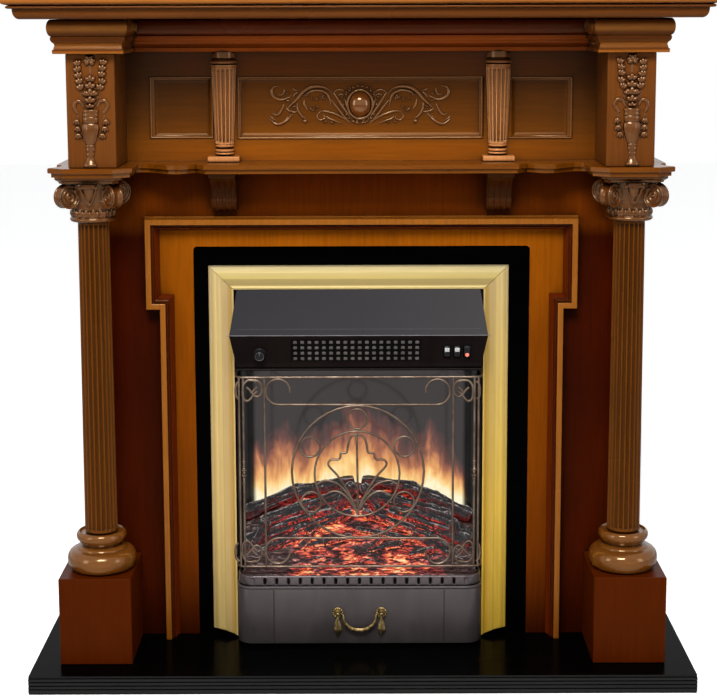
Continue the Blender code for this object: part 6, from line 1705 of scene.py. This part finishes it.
def ribbed_band():
    """A pressed band whose ribs hang side by side over the cover, with dark slots between."""
    low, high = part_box("fret_band")
    half = (high.x - low.x) / 2 - 0.0016
    front = low.y + 0.0016

    def profile(x, y):
        away = abs((x / RIB_PITCH + 0.5) % 1 - 0.5)
        slot = max(0, 1 - away / 0.16) if y < front + 0.001 else 0
        sink = 0.0012 - 0.0024 * min(1, 2 * slot)
        top, bottom = high.z - 0.0002, low.z + 0.0003
        return [(-0.0012, top), (0.0004, top - 0.0006), (0.0012, top - 0.002), (0.001, top - 0.0036),
                (sink, top - 0.005), (sink, (top + bottom) / 2), (sink * 0.9, bottom + 0.0022),
                (sink * 0.5, bottom + 0.0008), (-0.0004, bottom)]

    shape = wrapped_sheet(wrapped_path(half, front, high.y, CORNER_BEND, 10), profile, 0.0022)
    piece("ribbed_band", shape, BAND_STEEL, instead_of=("fret_band",), sharp=50)
    slots = bmesh.new()
    for i in range(RIBS):
        x = MID_X + (i - (RIBS - 1) / 2) * RIB_PITCH
        add_ball(slots, (x, front - 0.0011, (low.z + high.z) / 2 - 0.0002), (0.0024, 0.0006, 0.0058),
                 wide=14, tall=10)
    piece("band_slots", slots, SLOT_BLACK)


def cover_sheet():
    """The lower front: a sheet with broad round ends and a rolled lip along its top."""
    low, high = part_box("ash_cover")
    half = (high.x - low.x) / 2 - 0.0014
    front = low.y + 0.0014

    def profile(_x, _y):
        top, bottom = high.z - 0.0002, low.z + 0.0003
        lip = [(0.0012 * cos(radians(a)), top - 0.0018 + 0.0018 * sin(radians(a)))
               for a in (90, 60, 30, 0, -30, -60)]
        return lip + [(-0.0004, top - 0.0046), (-0.0006, top - 0.0054), (0, top - 0.0062),
                      (0, bottom + 0.0008), (-0.0006, bottom)]

    shape = wrapped_sheet(wrapped_path(half, front, high.y, CORNER_BEND, 12), profile, 0.002)
    piece("cover_sheet", shape, COVER_STEEL, "cover", ("ash_cover",), sharp=60)


def cover_details():
    """The roll along the lip, pale with painted highlight, and the two pressed seams of the cover."""
    low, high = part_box("ash_cover")
    half = (high.x - low.x) / 2 - 0.0014
    front = low.y + 0.0014
    roll = bmesh.new()
    line = [(MID_X + x + 0.0003 * way_x, y + 0.0003 * way_y, high.z - 0.0024)
            for (x, y), (way_x, way_y) in wrapped_path(half, front, high.y - 0.002, CORNER_BEND, 12)]
    add_tube(roll, line, 0.001, sides=10, fine=1)
    piece("cover_lip", roll, LINE_STEEL, "cover", sharp=60)
    seams = bmesh.new()
    for px in SEAMS_PX:
        x = spot(px, SEAM_MIDDLE_PY, front).x
        add_rod(seams, (x, front - 0.0001, low.z + 0.0015), (x, front - 0.0001, high.z - 0.0066),
                0.0007, 8)
    piece("cover_seams", seams, SEAM_STEEL, "cover")


def rosette(side, label):
    """A beaded rosette with a hanging tassel."""
    node = "handle_rosette_" + label
    low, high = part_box(node)
    x = (low.x + high.x) / 2
    middle_z = high.z - 0.0095
    face = high.y
    shape = bmesh.new()
    lay = Matrix.Translation((x, face, middle_z)) @ Matrix.Rotation(pi / 2, 4, "X")
    add_lathe(shape, mm(((0, 0.1), (8.6, 0.1), (8.6, 1.6), (7, 2.8), (5.2, 2.6), (5, 4), (3.6, 5.4),
                         (3.4, 10), (2.8, 11.6), (1.4, 12.4), (0, 12.5))), lay, steps=40)
    for a in angles(12):
        bead = (x + 0.0074 * cos(a), face - 0.002, middle_z + 0.0074 * sin(a))
        add_ball(shape, bead, (0.002, 0.0022, 0.002), wide=10, tall=6)
    add_pleats(shape, Vector((x, face - 0.0056, 0)), middle_z - 0.005, low.z + 0.0003)
    piece("rosette_" + label, shape, OLD_BRASS, "cover", (node,), sharp=40)


def add_pleats(shape, place, top, low):
    """A hanging cloth of pleats, narrow at its top and cut into a point below."""
    rings = []
    for share in shares(16):
        height = top + (low - top) * share
        wide = 0.0016 + 0.0034 * min(1, share / 0.7) ** 0.8
        if share > 0.7:
            wide *= max(0.04, 1 - ((share - 0.7) / 0.3) ** 1.3)
        ring = []
        for angle in angles(40):
            fold = 1 + 0.3 * cos(6 * angle) * min(1, 3 * share)
            ring.append((place.x + wide * cos(angle) * fold,
                         place.y + 0.7 * wide * sin(angle) * fold, height))
        rings.append(ring)
    add_loft(shape, rings)


def bail():
    """The swinging handle: thin at its eyes, thick and ringed in the middle."""
    low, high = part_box("handle_bail")
    y = (low.y + high.y) / 2
    shape = bmesh.new()
    top = high.z - 0.0016
    half = (high.x - low.x) / 2 - 0.0019
    middle_x = (low.x + high.x) / 2
    thick = 0.004
    bottom = low.z + thick + 0.0001
    drop = top - bottom
    points = [(middle_x - 0.97 * half, y, top), (middle_x - 0.9 * half, y, top - 0.0012)]
    points += [(middle_x - 0.84 * half * cos(pi * share), y,
                top - 0.003 - (drop - 0.003) * sin(pi * share) ** 0.9) for share in shares(14)]
    points += [(middle_x + 0.9 * half, y, top - 0.0012), (middle_x + 0.97 * half, y, top)]
    add_tube(shape, points, lambda share: 0.0015 + (thick - 0.0015) * sin(pi * share) ** 2.2,
             sides=16, fine=5, flat=Vector((0, 0.62, 0)))
    piece("bail_handle", shape, OLD_BRASS, "bail", ("handle_bail",), sharp=50)


# What the frame's own solids look like

KEPT = (
    # finish, width of the eased edges, and nodes
    (SLAB_BLACK, 0, "hearth_slab"),
    (INFILL_BLACK, 0.0006, "infill_panel"),
    (WOOD_UPRIGHT, 0, "side_panel_left side_panel_right upper_side_left upper_side_right"),
    (WOOD_RECESS, 0, "front_panel back_rail"),
    (WOOD_BOX, 0.0012, "upper_box_left upper_box_right"),
    (WOOD_LEVEL, 0, "frieze_panel"),
    (WOOD_SHELF, 0.0007, "mid_shelf"),
    (WOOD_PEDESTAL, 0.0016, "pedestal_left pedestal_right"),
    (BRASS_LEFT, 0.0005, "trim_left"),
    (BRASS_RIGHT, 0.0005, "trim_right"),
    (BRASS_TOP, 0.0005, "trim_top"),
    (BLACK_STEEL, 0, "firebox_case bed_tray fan_motor flicker_motor"),
    (GALVANISED, 0, "heater_tray fan_rotor flicker_spindle heater_element"),
    (BLACK_PLASTIC, 0, "cable_gland"),
    (HOOD_BROWN, 0, "outlet_grille"),
    (HOOD_STEEL, 0.0005, "hood"),
    (FLAMES, 0, "flame_screen"),
    (CIRCUIT, 0, "lamp_board"),
)


def dress_solids():
    for look, eased, nodes in KEPT:
        for node in nodes.split():
            obj = bpy.data.objects[node]
            obj.data.materials.clear()
            obj.data.materials.append(look)
            if eased:
                ease = obj.modifiers.new("eased edges", "BEVEL")
                ease.width = eased
                ease.segments = 2
                ease.limit_method = "ANGLE"
                ease.angle_limit = radians(40)
                ease.harden_normals = True


for make in (column_base, column_shaft, capital, half_column, corbel, urn, rosette):
    for side_and_label in SIDES:
        make(*side_and_label)
for make in (cornice, mantel_board, centre_applique, hood_lines, hood_lip, grille, knob, rockers,
             wrought_screen, coals, fire_logs, ribbed_band, architrave_moulding, field_frames,
             ember_apron, cover_sheet, cover_details, bail, dress_solids):
    make()


# Floor, background and light

FLOOR_GLOW = 0.78
SKY_STRENGTH = 0.15


def stage():
    """A pale floor that keeps the shadow and looks near white to the camera."""
    mesh = bpy.data.meshes.new("floor")
    reach = 9
    mesh.from_pydata([(-reach, -reach, 0), (reach, -reach, 0), (reach, reach, 0), (-reach, reach, 0)],
                     [], [(0, 1, 2, 3)])
    floor = bpy.data.objects.new("floor", mesh)
    bpy.context.scene.collection.objects.link(floor)
    look = Look("floor", 0.9)
    look.put("Base Color", (0.8, 0.8, 0.8))
    seen = look.node("LightPath").outputs["Is Camera Ray"]
    look.put("Emission Color", (1, 1, 1))
    look.put("Emission Strength", look.math("MULTIPLY", seen, FLOOR_GLOW))
    mesh.materials.append(look.material)


def background():
    """White where the camera, a shine or clear glass looks past the pieces, soft grey elsewhere."""
    world = bpy.data.worlds.new("background")
    bpy.context.scene.world = world
    world.use_nodes = True
    nodes, links = world.node_tree.nodes, world.node_tree.links
    soft = nodes["Background"]
    soft.inputs["Color"].default_value = (0.9, 0.94, 1, 1)
    soft.inputs["Strength"].default_value = SKY_STRENGTH
    white = nodes.new("ShaderNodeBackground")
    white.inputs["Color"].default_value = (1, 1, 1, 1)
    path = nodes.new("ShaderNodeLightPath")
    seen = path.outputs["Is Camera Ray"]
    for ray in ("Is Transmission Ray", "Is Glossy Ray"):
        either = nodes.new("ShaderNodeMath")
        either.operation = "MAXIMUM"
        links.new(seen, either.inputs[0])
        links.new(path.outputs[ray], either.inputs[1])
        seen = either.outputs[0]
    mix = nodes.new("ShaderNodeMixShader")
    links.new(seen, mix.inputs[0])
    links.new(soft.outputs[0], mix.inputs[1])
    links.new(white.outputs[0], mix.inputs[2])
    links.new(mix.outputs[0], nodes["World Output"].inputs["Surface"])


def add_lamp(name, place, aim, wide, high, power, colour):
    data = bpy.data.lights.new(name, "AREA")
    data.shape = "RECTANGLE"
    data.size, data.size_y = wide, high
    data.energy = power
    data.color = colour
    lamp = bpy.data.objects.new(name, data)
    lamp.location = place
    lamp.rotation_euler = (Vector(aim) - Vector(place)).to_track_quat("-Z", "Y").to_euler()
    bpy.context.scene.collection.objects.link(lamp)


stage()
background()
LAMPS = (
    # name, place, aim, width, height, power and colour
    ("top_soft_box", (-0.2, -2.3, 2.75), (0, -0.05, 0.6), 1.2, 0.9, 122, (1, 0.98, 0.95)),
    ("left_window", (-2.6, -1.9, 1.3), (-0.1, 0, 0.6), 0.8, 1.6, 18, (1, 1, 1)),
    ("right_window", (2.7, -1.7, 1.2), (0.1, 0, 0.5), 0.8, 1.6, 14, (1, 1, 1)),
)
for lamp in LAMPS:
    add_lamp(*lamp)

bpy.context.scene.view_settings.view_transform = "Standard"
